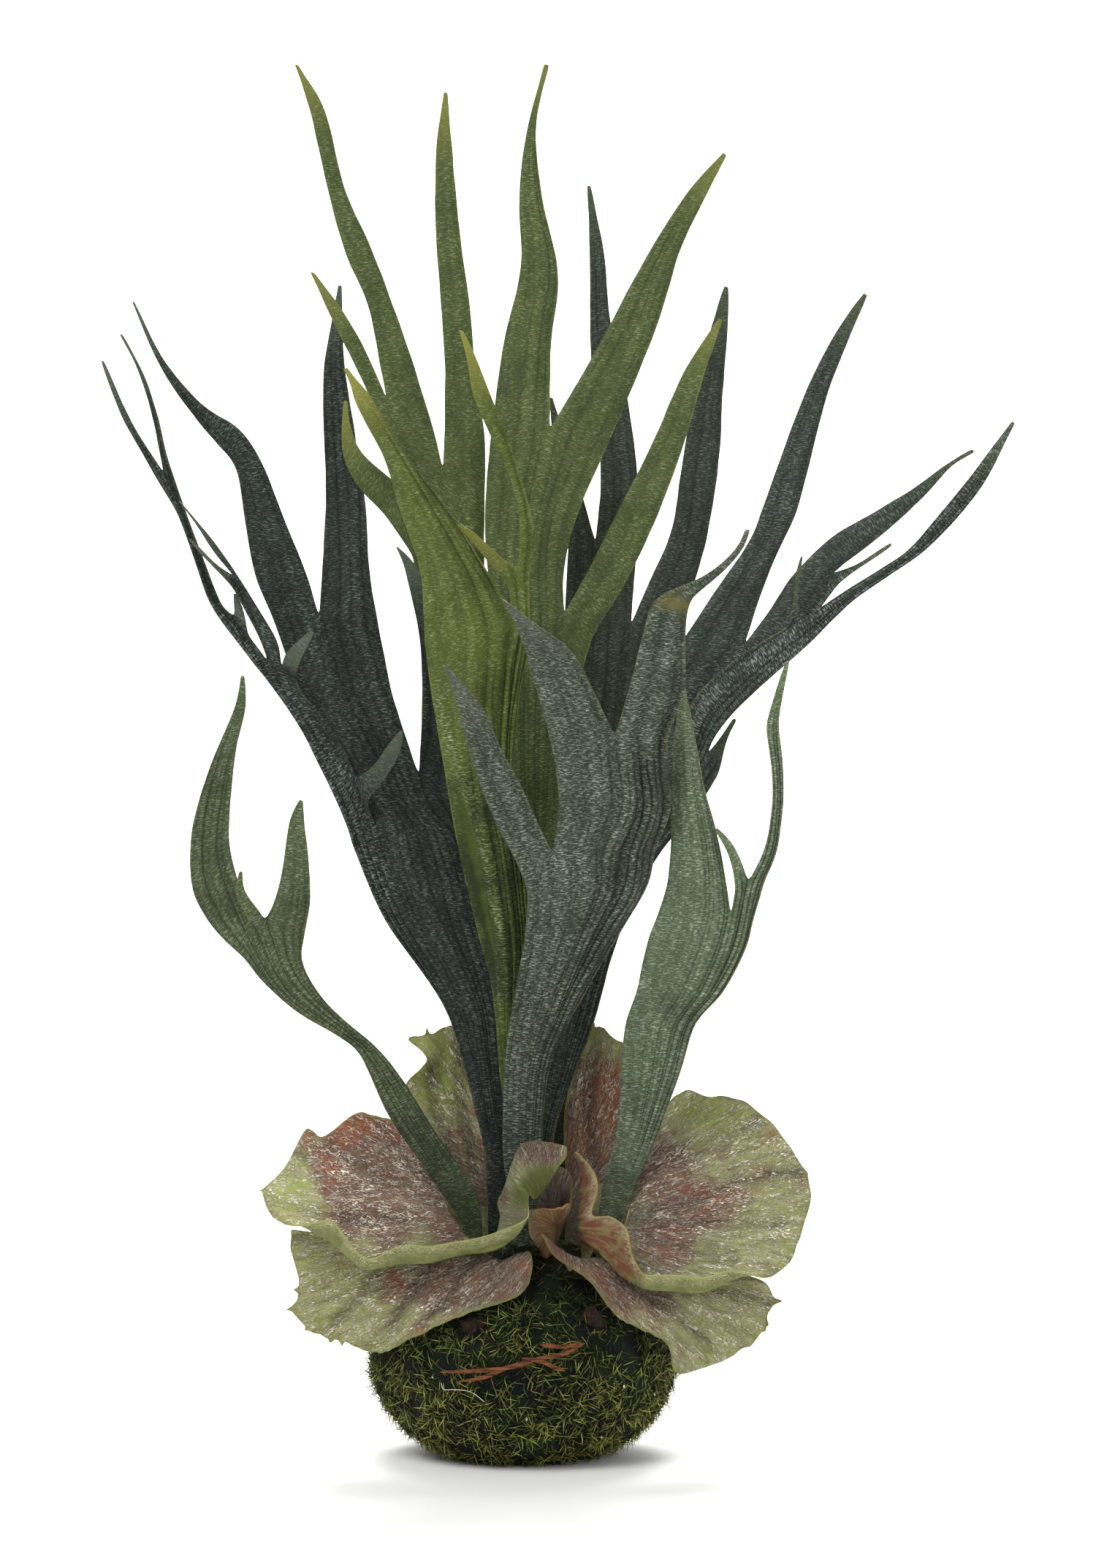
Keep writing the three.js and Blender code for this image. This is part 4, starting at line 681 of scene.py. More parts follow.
class Frond:
    """Grows one frond's sheet, and marks each vertex with its place on the leaf."""

    def __init__(self, name, root, strips, flutes, pleats, marks):
        self.sheet = Sheet(LEAF_VALUES)
        self.root = root
        self.strips = strips
        self.flutes = flutes
        self.pleats = pleats
        self.marks = marks
        self.seed = len(name) * 7.3
        self.lift = {}
        self.grow(root, first_rib=0)
        self.sheet.mesh.normal_update()
        normals = sum((vertex.normal for vertex in self.lift), Vector())
        towards_front = -1 if normals.y > 0 else 1
        for vertex, lift in self.lift.items():
            vertex.co += vertex.normal * lift * towards_front

    def grow(self, branch, first_rib, start=None):
        lean, crease = self.root["lean"], branch.get("crease")
        shares = strip_shares(branch, self.strips)
        lines = [cross_line(row, shares, lean, crease) for row in branch["rows"]]
        forks = branch["forks"]
        if forks:
            lines[-1] = fork_line(branch, shares, lean, self.strips)
        if start:
            lines.insert(0, start["line"])
            row, along, centre = start["row"], start["along"], start["centre"]
        else:
            row, along, centre = self.sheet.first_row(lines[0]), 0, 0
            self.mark(branch, row, lines[0], along, centre, first_rib, 0)
        middle = len(shares) // 2
        steps = []
        for here, there in zip(lines, lines[1:]):
            steps.append(max(1, round((there[middle] - here[middle]).length / ROW_SPACING)))
        columns = list(zip(*lines))
        last = row[middle].co.copy()
        end = along + sum((b - a).length for a, b in zip(columns[middle], columns[middle][1:]))
        for index, count in enumerate(steps):
            for step in range(1, count + 1):
                share = (index + step / count) / len(steps)
                points = [between(column, share) for column in columns]
                along += (points[middle] - last).length
                last = points[middle]
                row = self.sheet.next_row(row, points)
                tip = 0 if forks else 1 - smoothstep(end - along, 0, TIP_LENGTH)
                across = self.mark(branch, row, points, along, centre, first_rib, tip)
        first = 0
        for fork in forks:
            strips = fork["ribs"] * self.strips
            part = slice(first, first + strips + 1)
            self.grow(fork, first_rib + first / self.strips, dict(
                line=lines[-1][part], row=row[part], along=along,
                centre=across[first + strips // 2]))
            first += strips

    def mark(self, branch, row, points, along, centre, first_rib, tip):
        runs = measure(points)
        width = runs[-1]
        middle = runs[len(runs) // 2]
        across = [centre + run - middle for run in runs]
        edges = [min(run, width - run) for run in runs]
        ribs = [first_rib + strip / self.strips for strip in range(len(row))]
        spans = zip(row, across, edges, ribs)
        foot = smoothstep(along, PLAIN_FOOT, FLUTED_FROM)
        whole = self.root["ribs"]
        for vertex, side, edge, rib in spans:
            x, z = front_view(vertex.co)
            vertex[self.sheet.layers["place"]] = (side, along, edge)
            strength = profile(self.flutes, rib / whole) * foot * (1 - tip)
            drift = 1.5 * noise.noise(Vector((rib * 0.4, along / 45, self.seed)))
            wave = math.sin(2 * math.pi * FLUTES_ACROSS * rib / whole + drift)
            flute_width = width * whole / (branch["ribs"] * FLUTES_ACROSS)
            swing = noise.noise(Vector((side / 16, along / 28, self.seed + 9)))
            outward = 1 - 1.2 * edge / max(width, 1)
            self.lift[vertex] = foot * (1 - tip) * BLADE_WAVE * outward * swing
            self.lift[vertex] += FLUTE_DEPTH * flute_width * wave * strength
            hand = {name: painted(self.marks.get(name, []), x, z) for name in HAND_MARKS}
            self.lift[vertex] += hand["fold"]
            pleating = profile(self.pleats, rib / whole) + hand["pleat"]
            # Painted shade: the blade is drawn darker toward the foot of the stalk
            foot_shade = FOOT_SHADE * (1 - smoothstep(z, STALK_FOOT, FOOT_SHADE_END))
            values = dict(
                flute=wave * min(1, strength), pleat=min(1, max(0, pleating)) * foot * (1 - tip),
                tip=min(1, tip + hand["aged"]), shade=min(1, max(0, hand["shade"] + foot_shade)),
                rib=rib / whole, felt=hand["felt"], dry=hand["dry"])
            for name, value in values.items():
                vertex[self.sheet.layers[name]] = value
            share = smoothstep(vertex.co.z, STALK_FOOT, STALK_TOP)
            body = (STALK_THICKNESS + (BLADE_THICKNESS - STALK_THICKNESS) * share) / STALK_THICKNESS
            vertex[self.sheet.body][0] = body * (MARGIN_THINNING if edge == 0 else 1)
        for outer, inner in ((row[0], row[1]), (row[-1], row[-2])):
            out = (outer.co - inner.co).normalized()
            uneven = noise.noise(Vector((along / 3.5, outer.co.x / 9, self.seed)))
            outer.co += out * MARGIN_WOBBLE * foot * uneven
        return across


print("a row every", ROW_SPACING, "mm")

# %% [markdown]
# ## Felted leaf
#
# The blade is a thick, leathery leaf under a felt of tiny star-shaped hairs. From a step away the
# hairs read as short pale strokes that lie across the leaf, dense on the ridges and rubbed thin
# in the grooves. The real strokes are about 2 mm long and a third of a millimetre wide, so they
# are drawn at true size, on the leaf's own place rather than on the world's axes, and turn with
# every prong. The pleats are rounded ridges with sharp grooves between, which is the shape of
# the absolute value of a sine. They follow the ribs, so they close up toward the stalk.

# %% A felted frond's material
STROKE_ACROSS = 1.7
STROKE_ALONG = 0.36
FINE_STROKE = 0.6


def strokes(add, place, across, along, thinnest, thickest):
    """Short pale hairs, longer across the leaf than along it, from noise between two limits."""
    laid = add("Mapping", {
        "Vector": place, "Rotation": (0, 0, math.radians(12)),
        "Scale": (1 / across, 1 / along, 1)})["Vector"]
    hairs = add("TexNoise", {
        "Vector": laid, "Scale": 1.0, "Detail": 2.0, "Roughness": 0.6, "Distortion": 0.6},
        noise_dimensions="2D")["Fac"]
    return add("MapRange", [hairs, thinnest, thickest])["Result"]


def felted_leaf(name, deep, light, felt, tip, margin, cover, tip_share, pleat_count):
    """Leathery green under short pale hairs: it gives the eye a matt, brushed blade."""
    material, add, surface = new_material(name)
    place = add("Attribute", attribute_name="place")["Vector"]
    flute, pleat, ending, rib, more_felt, dry_spot, shaded = (
        add("Attribute", attribute_name=name)["Fac"] for name in LEAF_VALUES)
    spot = add("TexCoord")["Object"]
    parts = add("SeparateXYZ", [place])
    # Pleats along the ribs, drifting a little so that no two are alike
    drift_place = add("CombineXYZ", {"X": rib, "Y": parts["Y"]})["Vector"]
    drift_laid = add("Mapping", {"Vector": drift_place, "Scale": (7.0, 0.018, 1.0)})["Vector"]
    drift = add("TexNoise", {
        "Vector": drift_laid, "Scale": 1.0, "Detail": 1.0}, noise_dimensions="2D")["Fac"]
    phase = add("Math", [rib, math.pi * pleat_count, drift], operation="MULTIPLY_ADD")[0]
    turned = add("Math", [drift, 3.5, phase], operation="MULTIPLY_ADD")[0]
    sine = add("Math", [turned], operation="SINE")[0]
    rounded = add("Math", [sine], operation="ABSOLUTE")[0]
    lowered = add("Math", [1.0, rounded], operation="SUBTRACT")[0]
    sharper = add("Math", [lowered, 1.6], operation="POWER")[0]
    groove = add("Math", [sharper, pleat], operation="MULTIPLY")[0]
    ridge = add("Math", [1.0, groove], operation="SUBTRACT")[0]
    # Where the felt is rubbed thin: in grooves, and in patches a centimetre or two wide
    patches = add("TexNoise", {"Vector": spot, "Scale": 75.0, "Detail": 3.0, "Roughness": 0.6})["Fac"]
    worn = add("MapRange", [patches, 0.38, 0.6, 0.5, 1.0])["Result"]
    swell = add("MapRange", [flute, -1.0, 0.6, 0.45, 1.0])["Result"]
    on_ridge = add("Math", [swell, ridge], operation="MULTIPLY")[0]
    kept = add("Math", [worn, on_ridge], operation="MULTIPLY")[0]
    wanted = add("Math", [more_felt, cover], operation="ADD")[0]
    laid_on = add("Math", [kept, wanted], operation="MULTIPLY")[0]
    coarse = strokes(add, place, STROKE_ACROSS, STROKE_ALONG, 0.53, 0.62)
    fine = strokes(add, place, FINE_STROKE * STROKE_ACROSS, FINE_STROKE * STROKE_ALONG, 0.53, 0.7)
    hairs = add("Math", [fine, 0.5, coarse], operation="MULTIPLY_ADD")[0]
    # Painted shade also thins the pale hairs
    thinned = add("Math", [shaded, -0.6, 1.0], operation="MULTIPLY_ADD")[0]
    left_on = add("Math", [laid_on, thinned], operation="MULTIPLY")[0]
    felted = add("Math", [hairs, left_on], operation="MULTIPLY", use_clamp=True)[0]
    # The green under the felt, with painted shade: darker in the grooves, under the shade marks and toward
    # the foot of the stalk
    shade = add("Math", [patches, on_ridge], operation="MULTIPLY")[0]
    lit = add("Math", [shaded, -0.45, shade], operation="MULTIPLY_ADD")[0]
    lighter = add("MapRange", [lit, 0.0, 0.62])["Result"]
    green = add("Mix", {
        SHARE: lighter, FIRST: linear(deep), SECOND: linear(light)}, data_type="RGBA")[MIXED]
    # Ageing tips, dry spots and the dry margin
    last_part = add("Math", [ending, 2.2], operation="POWER")[0]
    aged = add("Math", [last_part, tip_share], operation="MULTIPLY")[0]
    tipped = add("Mix", {SHARE: aged, FIRST: green, SECOND: linear(tip)}, data_type="RGBA")[MIXED]
    hairy = add("Mix", {SHARE: felted, FIRST: tipped, SECOND: linear(felt)}, data_type="RGBA")[MIXED]
    rim = add("MapRange", [parts["Z"], 0.05, 0.5, 0.55, 0.0])["Result"]
    broken = add("MapRange", [patches, 0.44, 0.56])["Result"]
    rim_worn = add("Math", [rim, broken], operation="MULTIPLY")[0]
    dry = add("Math", [rim_worn, dry_spot], operation="ADD", use_clamp=True)[0]
    colour = add("Mix", {SHARE: dry, FIRST: hairy, SECOND: linear(margin)}, data_type="RGBA")[MIXED]
    raised = add("Math", [felted, 0.35, ridge], operation="MULTIPLY_ADD")[0]
    finish_surface(surface, colour, {
        "Roughness": 0.65, "Specular IOR Level": 0.16, "Sheen Weight": 0.03,
        "Sheen Roughness": 0.4, "Sheen Tint": linear("#dfe8dc")}, height=raised, depth=0.0006)
    return material


print("hairs, mm:", STROKE_ACROSS, "by", STROKE_ALONG)

# %% [markdown]
# ## The nine fronds
#
# The greens run from yellow-green in the young fronds to nearly black-green in the old ones. The
# flutes and pleats are given from the left margin to the right one: they are deepest where a
# blade folds at its margin. Marks are given in the front view, each with its path, radius and
# strength: a fold lifts the blade by that many mm, felt is thicker or, below nought, rubbed off,
# and a shade mark is painted shade that darkens the green and thins the felt.

FROND_LOOKS = dict(
    frond_front=dict(
        strips=6, flutes=(0.8, 0.6, 0.6, 1.0, 1.5), pleats=(0.4, 0.2, 0.35, 0.7, 1),
        pleat_count=20, deep="#171e15", light="#343f30", felt="#aab4a6", tip="#5b5a4c",
        margin="#6b6434", cover=0.8, tip_share=0.5,
        marks=dict(
            dry=[([(43, 293), (49, 290)], 4, 0.8)],
            aged=[([(43, 236), (37.5, 206), (30, 184), (21, 166), (13, 150)], 4.5, 0.6)],
            shade=[([(44, 250), (38, 214), (24, 190)], 9, 0.5),
                   ([(24, 176), (15, 150), (9, 120)], 9, 0.5)],
            pleat=[([(42, 238), (36, 200), (27, 182), (19, 166), (12, 150)], 9, 0.7),
                   ([(42, 292), (38, 265), (34, 248)], 14, -0.9)],
            fold=[([(36, 200), (27, 182), (19, 166), (13, 153)], 3, 1.2)])),
    frond_yellow_green=dict(
        strips=6, flutes=(0.2, 0.4, 0.8, 1.0, 1.1), pleats=(0, 0.15, 0.5, 1, 1),
        pleat_count=13, deep="#1f2a0b", light="#52611f", felt="#a1a97c", tip="#8d8a3a",
        margin="#7c7d34", cover=0.6, tip_share=0.8,
        marks=dict(
            # The first felt mark runs along the fold's ridge: thicker felt, and a painted highlight where
            # the ridge catches the light
            felt=[([(-35, 262), (-32, 247), (-27, 234), (-20.6, 214), (-13.4, 178), (-12.5, 153)],
                   2.6, 0.8),
                  ([(-26, 222), (-20, 190), (-14, 165)], 4, -0.5)],
            shade=[([(-33, 230), (-28, 205), (-22, 180), (-17, 158)], 5, 0.8),
                   ([(-20, 228), (-14, 200), (-10, 165)], 12, 0.55)],
            pleat=[([(-20, 370), (-9, 330), (-6, 300), (-12, 278)], 9, -0.9)],
            fold=[([(-33, 252), (-27, 234), (-20.6, 214), (-13.4, 178), (-12.5, 153)], 2.2, 1.3)])),
    frond_left=dict(
        strips=3, flutes=(1.2, 0.8, 0.6, 0.7, 0.9), pleats=(0.8, 0.5, 0.4, 0.5, 0.7),
        pleat_count=24, deep="#0d120d", light="#20281f", felt="#7d8982", tip="#596351",
        margin="#51512c", cover=0.7, tip_share=0.7,
        marks=dict(felt=[([(-104, 285), (-95, 266), (-82, 250), (-72, 231), (-65, 212), (-57, 192)],
                         9, 1.1)])),
    frond_rear_left=dict(
        strips=6, flutes=(0.4, 0.4, 0.3, 0.3, 0.4), pleats=(0.1, 0.1, 0.1, 0.1, 0.1),
        pleat_count=16, deep="#222e14", light="#47552a", felt="#9ca679", tip="#7b7c36",
        margin="#7c7836", cover=0.6, tip_share=0.8, marks={}),
    frond_rear_centre=dict(
        strips=6, flutes=(0.4, 0.6, 0.6, 0.5, 0.4), pleats=(0.2, 0.45, 0.45, 0.2, 0.1),
        pleat_count=14, deep="#243017", light="#4b592d", felt="#9fa97d", tip="#7f8038",
        margin="#82803a", cover=0.6, tip_share=0.55, marks={}),
    frond_dark_rear=dict(
        strips=6, flutes=(0.6, 0.6, 0.6, 0.6, 0.6), pleats=(0.4, 0.4, 0.4, 0.4, 0.4),
        pleat_count=14, deep="#20281f", light="#353d32", felt="#8b958a", tip="#4b5438",
        margin="#55572f", cover=0.6, tip_share=0.6, marks={}),
    frond_right=dict(
        strips=4, flutes=(0.6, 0.7, 0.8, 1.1, 1.4), pleats=(0.3, 0.3, 0.4, 0.9, 1),
        pleat_count=22, deep="#171d16", light="#303a2e", felt="#8b958d", tip="#4f5936",
        margin="#5d5d34", cover=0.65, tip_share=0.6,
        marks=dict(
            felt=[([(46, 244), (60, 264), (88, 280), (112, 299), (134, 315), (161, 352)], 9, 1.0)],
            pleat=[([(46, 244), (60, 264), (88, 280)], 9, -0.45)])),
    frond_right_low=dict(
        strips=6, flutes=(0.3, 0.4, 0.7, 1.2, 1.5), pleats=(0.1, 0.2, 0.45, 0.8, 1),
        pleat_count=20, deep="#2e3924", light="#566446", felt="#bcc6b4", tip="#55663a",
        margin="#7b763e", cover=0.7, tip_share=0.5, marks={}),
    frond_left_low=dict(
        strips=6, flutes=(0.8, 0.7, 0.7, 0.7, 0.8), pleats=(0.6, 0.5, 0.5, 0.5, 0.6),
        pleat_count=12, deep="#1f2918", light="#45512f", felt="#9ca68f", tip="#46552c",
        margin="#74703a", cover=0.65, tip_share=0.4, marks={}),
)

print("looks for", len(FROND_LOOKS), "fronds")

# %% Make the fronds
for node, parts in FRONDS.items():
    looks = dict(FROND_LOOKS[node])
    form = [looks.pop(name) for name in ("strips", "flutes", "pleats", "marks")]
    frond = Frond(node, with_forks(parts), *form)
    skin = felted_leaf(node + "_felted_leaf", **looks)
    piece = finish_leaf(frond.sheet, node, [skin], STALK_THICKNESS)
    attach(piece, "root")
    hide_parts(node)
    print(piece.name, "triangles:", triangles(piece))

# %% [markdown]
# ## Shields
#
# A shield is a run of cross lines of points. Each point is (x, z, depth), or is found on the ball
# or on its crown. The smooth surface through them is the CAD form. The two rear shields alone
# reach 2 mm deeper into the moss and are a little wider low down, so that no gap shows between
# the leaves. On the form goes what the real leaf has: radial wrinkles, a waved margin and small
# uneven teeth. They are modelled rather than drawn, because the light from above rakes over the
# shields and the teeth make their outline.

# %% The measured lines of the seven shields
SHIELDS = dict(
    shield_upper_left=dict(
        across=8, along=30, ripple=1.2, tooth=1.2, count=5,
        lines=[
            [[-91.6, 80, -28], [-93.6, 84, -25], [-94.6, 86.6, -22], [-95, 88, -20], [-95.4, 90, -18]],
            [[-84.6, 77.8, -39], [-85, 80, -34.6], [-86, 84, -28], [-87.5, 91, -17], [-87.4, 98, -8]],
            [[-76.6, 79, -44.6], [-77, 75, -40], [-78, 84, -29], [-80, 97, -14], [-80.6, 110, -2]],
            [[-70.6, 78.6, -47], [-70, 70.8, -43], [-71, 82, -29], [-72, 96, -14], [-73.6, 109, 0]],
            [[-60, 66.4, -51], [-60, 63.8, -46], [-61, 78, -31], [-62, 97, -12], [-63.6, 116, 3]],
            [[-49, 70.6, -51.4], [-49, 65.2, -47], [-50, 78, -32], [-50, 95, -12], [-52, 114.6, 4]],
            [[-38, 70.8, -51], [-38, 65.6, -46.6], [-38, 74, -36], [-40, 86, -20], [-42, 107, 2]],
            [[-33, 71.6, -50.4], [-33, 67, -45.8], [-33, 72.8, -37], [-33.6, 80, -26], [-34.6, 92, -9.6]],
            [[-28, 72.4, -49.6], [-28, 68.2, -45], [-28, 71.6, -38], [-28, 74.6, -31], [-30, 79.6, -23]],
            [[-20, 74, -46.6], [-20, 69, -42.6], [-19.5, 71, -37], [-18.5, 72, -30],
             on_crown(-18, -20.5)],
            [[-12.4, 76.6, -45], [-13, 71, -41], [-13, 74.6, -35.6], [-13, 78, -30.6], [-14, 80, -26]],
            [[-5, 80, -43.6], [-6.6, 77.6, -40], [-9, 79.6, -35.6], [-12, 83, -31], [-15, 86, -27]],
            [[-4.2, 84, -42], [-6.6, 86.4, -39], [-8.6, 88, -35], [-10.6, 90, -30.6], [-12.6, 91, -26]],
            [[-4.2, 87.4, -39.4], [-8, 95, -38], [-8.4, 98, -34], [-9, 99, -29], [-9.4, 100, -25]],
            [[-3.6, 88.6, -37], [-6, 98.8, -37.5], [-6, 102, -33], [-6.2, 104, -28], [-6, 106, -24]],
            [[-2, 87, -34], [-1, 98.8, -36.5], [0, 102, -32], [1, 104.6, -28], [1, 106.6, -24]],
            [[2, 91.5, -33], [5.5, 97.2, -34], [7.8, 100, -31], [9, 102.5, -28], [8.8, 105, -25]],
        ]),
    shield_lower_left=dict(
        across=7, along=20, ripple=0.9, tooth=1.8, count=3,
        lines=[
            [on_crown(-8.6, -26, 1.2), [-4, 69, -36], [-2.8, 64, -41], [-4, 58, -44]],
            [on_crown(-15, -25, 1.2), [-12, 66, -38], [-11, 60, -44], on_ball(-9, 52.6, 4)],
            [[-27, 72, -30], [-26, 66, -38], [-27, 56, -45], on_ball(-27, 46.4, 4)],
            [[-42, 73, -30], [-42, 65, -36], [-43, 52, -41], on_ball(-44, 38.4, 7)],
            [[-56, 74, -28], [-56, 64, -32], [-56, 49, -34], [-55, 33.6, -33]],
            [[-70, 75, -26], [-69, 64, -28], [-68, 51, -28], [-67, 37, -28]],
            [[-80, 76, -25], [-79, 65, -25], [-77, 53, -24], [-77.6, 40.6, -24]],
            [[-85.5, 76.6, -24], [-84.6, 67, -23], [-82.6, 58, -21], [-85.6, 49, -20]],
        ]),
    shield_rear_left=dict(
        across=10, along=10, ripple=0.8, tooth=1, count=2,
        lines=[
            [on_crown(-17.6, 4.6, -1.5), [-18, 92, 10], [-18, 111, 13], [-18.4, 121, 14.6], [-19, 128, 16],
             [-20, 137, 17], [-22, 147.4, 18]],
            [on_crown(-22, 4.6, -1.5), [-25, 93, 9], [-29, 112, 13], [-31, 122, 16], [-31, 129, 18],
             [-31.4, 137, 19], [-32, 146.6, 20]],
            [on_crown(-30, 3, -1.5), [-35.6, 93, 6], [-39.6, 113, 11], [-46.4, 125, 14], [-41, 131.6, 12],
             [-39, 135.4, 11], [-44.6, 141.4, 14]],
        ]),
    shield_rear_right=dict(
        across=6, along=10, ripple=0.8, tooth=1, count=2,
        lines=[
            [on_crown(27, 1, -1.5), [32.8, 88, 4], [32, 106, 5], [35, 120, 6], [35, 136, 9]],
            [on_crown(18.5, 2, -1.5), [19, 88, 4], [19, 106, 6.5], [19.6, 124, 9], [20, 146.5, 11]],
            [on_crown(8, 2, -1.5), [9, 88, 5], [7.8, 108, 7.5], [9, 122, 8], [14.4, 139, 10]],
        ]),
    shield_upper_right=dict(
        across=8, along=28, ripple=1.2, tooth=0.9, count=5,
        lines=[
            [[85, 65, -32], [88, 71, -29], [90, 78, -24], [92.6, 88, -18], [90.4, 97, -12]],
            [[77.4, 60, -40], [78.4, 64.6, -35.6], [80, 76, -26], [82, 92, -13], [80.6, 111, -2]],
            [[65.6, 62.6, -47.6], [66, 60.4, -42], [68, 74, -29], [70, 94, -12], [70, 120, 3]],
            [[55.6, 60, -50.6], [56, 55.8, -45], [57, 72, -30], [58, 95, -12], [59, 123, 6]],
            [[45, 61, -51.6], [45, 56, -46.6], [46, 70, -33], [47, 92, -14], [46, 122.6, 6]],
            [[36, 61, -52], [36, 57, -46.6], [36, 67, -36], [36.6, 82, -22], [36, 106, 1]],
            [[33.4, 64, -51], [32, 58.6, -46], [31.6, 66, -37], [31.6, 75, -27], [31.8, 90, -9.6]],
            [[31, 69, -50], [28, 61, -44.6], [27, 66, -38], [27, 71, -31], [27.6, 76, -24]],
            [[29.6, 76.6, -46], [22, 68, -41.6], [20, 69.6, -35], [20, 71.6, -29], [20.6, 74, -22]],
            [[24, 81, -39], [15.6, 76, -36], [14.6, 73.6, -31], [14.6, 70, -26], on_crown(15, -20.5, 0)],
            [[17.6, 81.6, -36], [14.4, 80.6, -33.4], [13.4, 79.6, -29.4], [13.4, 78.8, -26],
             [14, 78, -22]],
            [[19.6, 90, -31], [16.6, 89, -28.6], [14.4, 88.4, -25.6], [13.8, 87.8, -22.6],
             [13.8, 88, -19]],
            [[18.4, 96, -28], [16.2, 96.4, -26], [14.6, 96.6, -24], [13.8, 96.8, -22], [13.6, 97, -19]],
            [[13.4, 102, -25], [12.8, 102.6, -24], [12.4, 102.8, -22.6], [12, 103, -21],
             [11.6, 103, -19.4]],
        ]),
    shield_lower_right=dict(
        across=6, along=18, ripple=0.8, tooth=1, count=3,
        lines=[
            [on_crown(9.6, -29), [6.4, 69, -35], [3.4, 72.6, -37.4], [0.2, 75.4, -38.6]],
            [[15, 66, -33], [12, 66.6, -36.5], [8, 67.4, -38.5], [4.6, 67.4, -40]],
            [[26, 66, -33], [23, 64, -37.6], [19, 61.4, -41.6], [16, 59, -43]],
            [[40, 64, -31], [35, 58, -38], [29, 51.6, -43], [25, 47, -45]],
            [[53, 64, -30], [47, 56, -37], [40, 48, -42], [33, 42.6, -43]],
            [[65, 62, -30], [58, 54, -35], [50, 45, -38], [43, 37, -39]],
            [[76, 59, -30], [66, 48, -33], [56, 36, -35], [46, 27.4, -36]],
            [[80, 53, -29], [76, 42, -30], [66, 33.6, -31], [56, 29.4, -32]],
        ]),
    shield_centre=dict(
        across=8, along=8, ripple=0.3, tooth=0.5, count=1,
        lines=[
            [[-4.5, 83.2, -34.6], [-3.8, 75, -32], [-2, 73.4, -27], [-1.6, 80, -22.6], [-1, 87, -22]],
            [[2, 83.8, -36.4], [1, 75.6, -33], on_crown(2, -23.5), [3, 80, -21], [4.4, 97.5, -21]],
            [[7, 84, -34.6], [5.6, 79, -31], [6, 74, -25], [7.6, 83, -20.6], [8.4, 97.4, -21.6]],
            [[9.8, 85.6, -31.4], [10, 83.4, -28], [10.2, 85, -25], [10.6, 89, -23.4], [11, 94, -22.8]],
        ]),
)
print("cross lines:", {node: len(form["lines"]) for node, form in SHIELDS.items()})
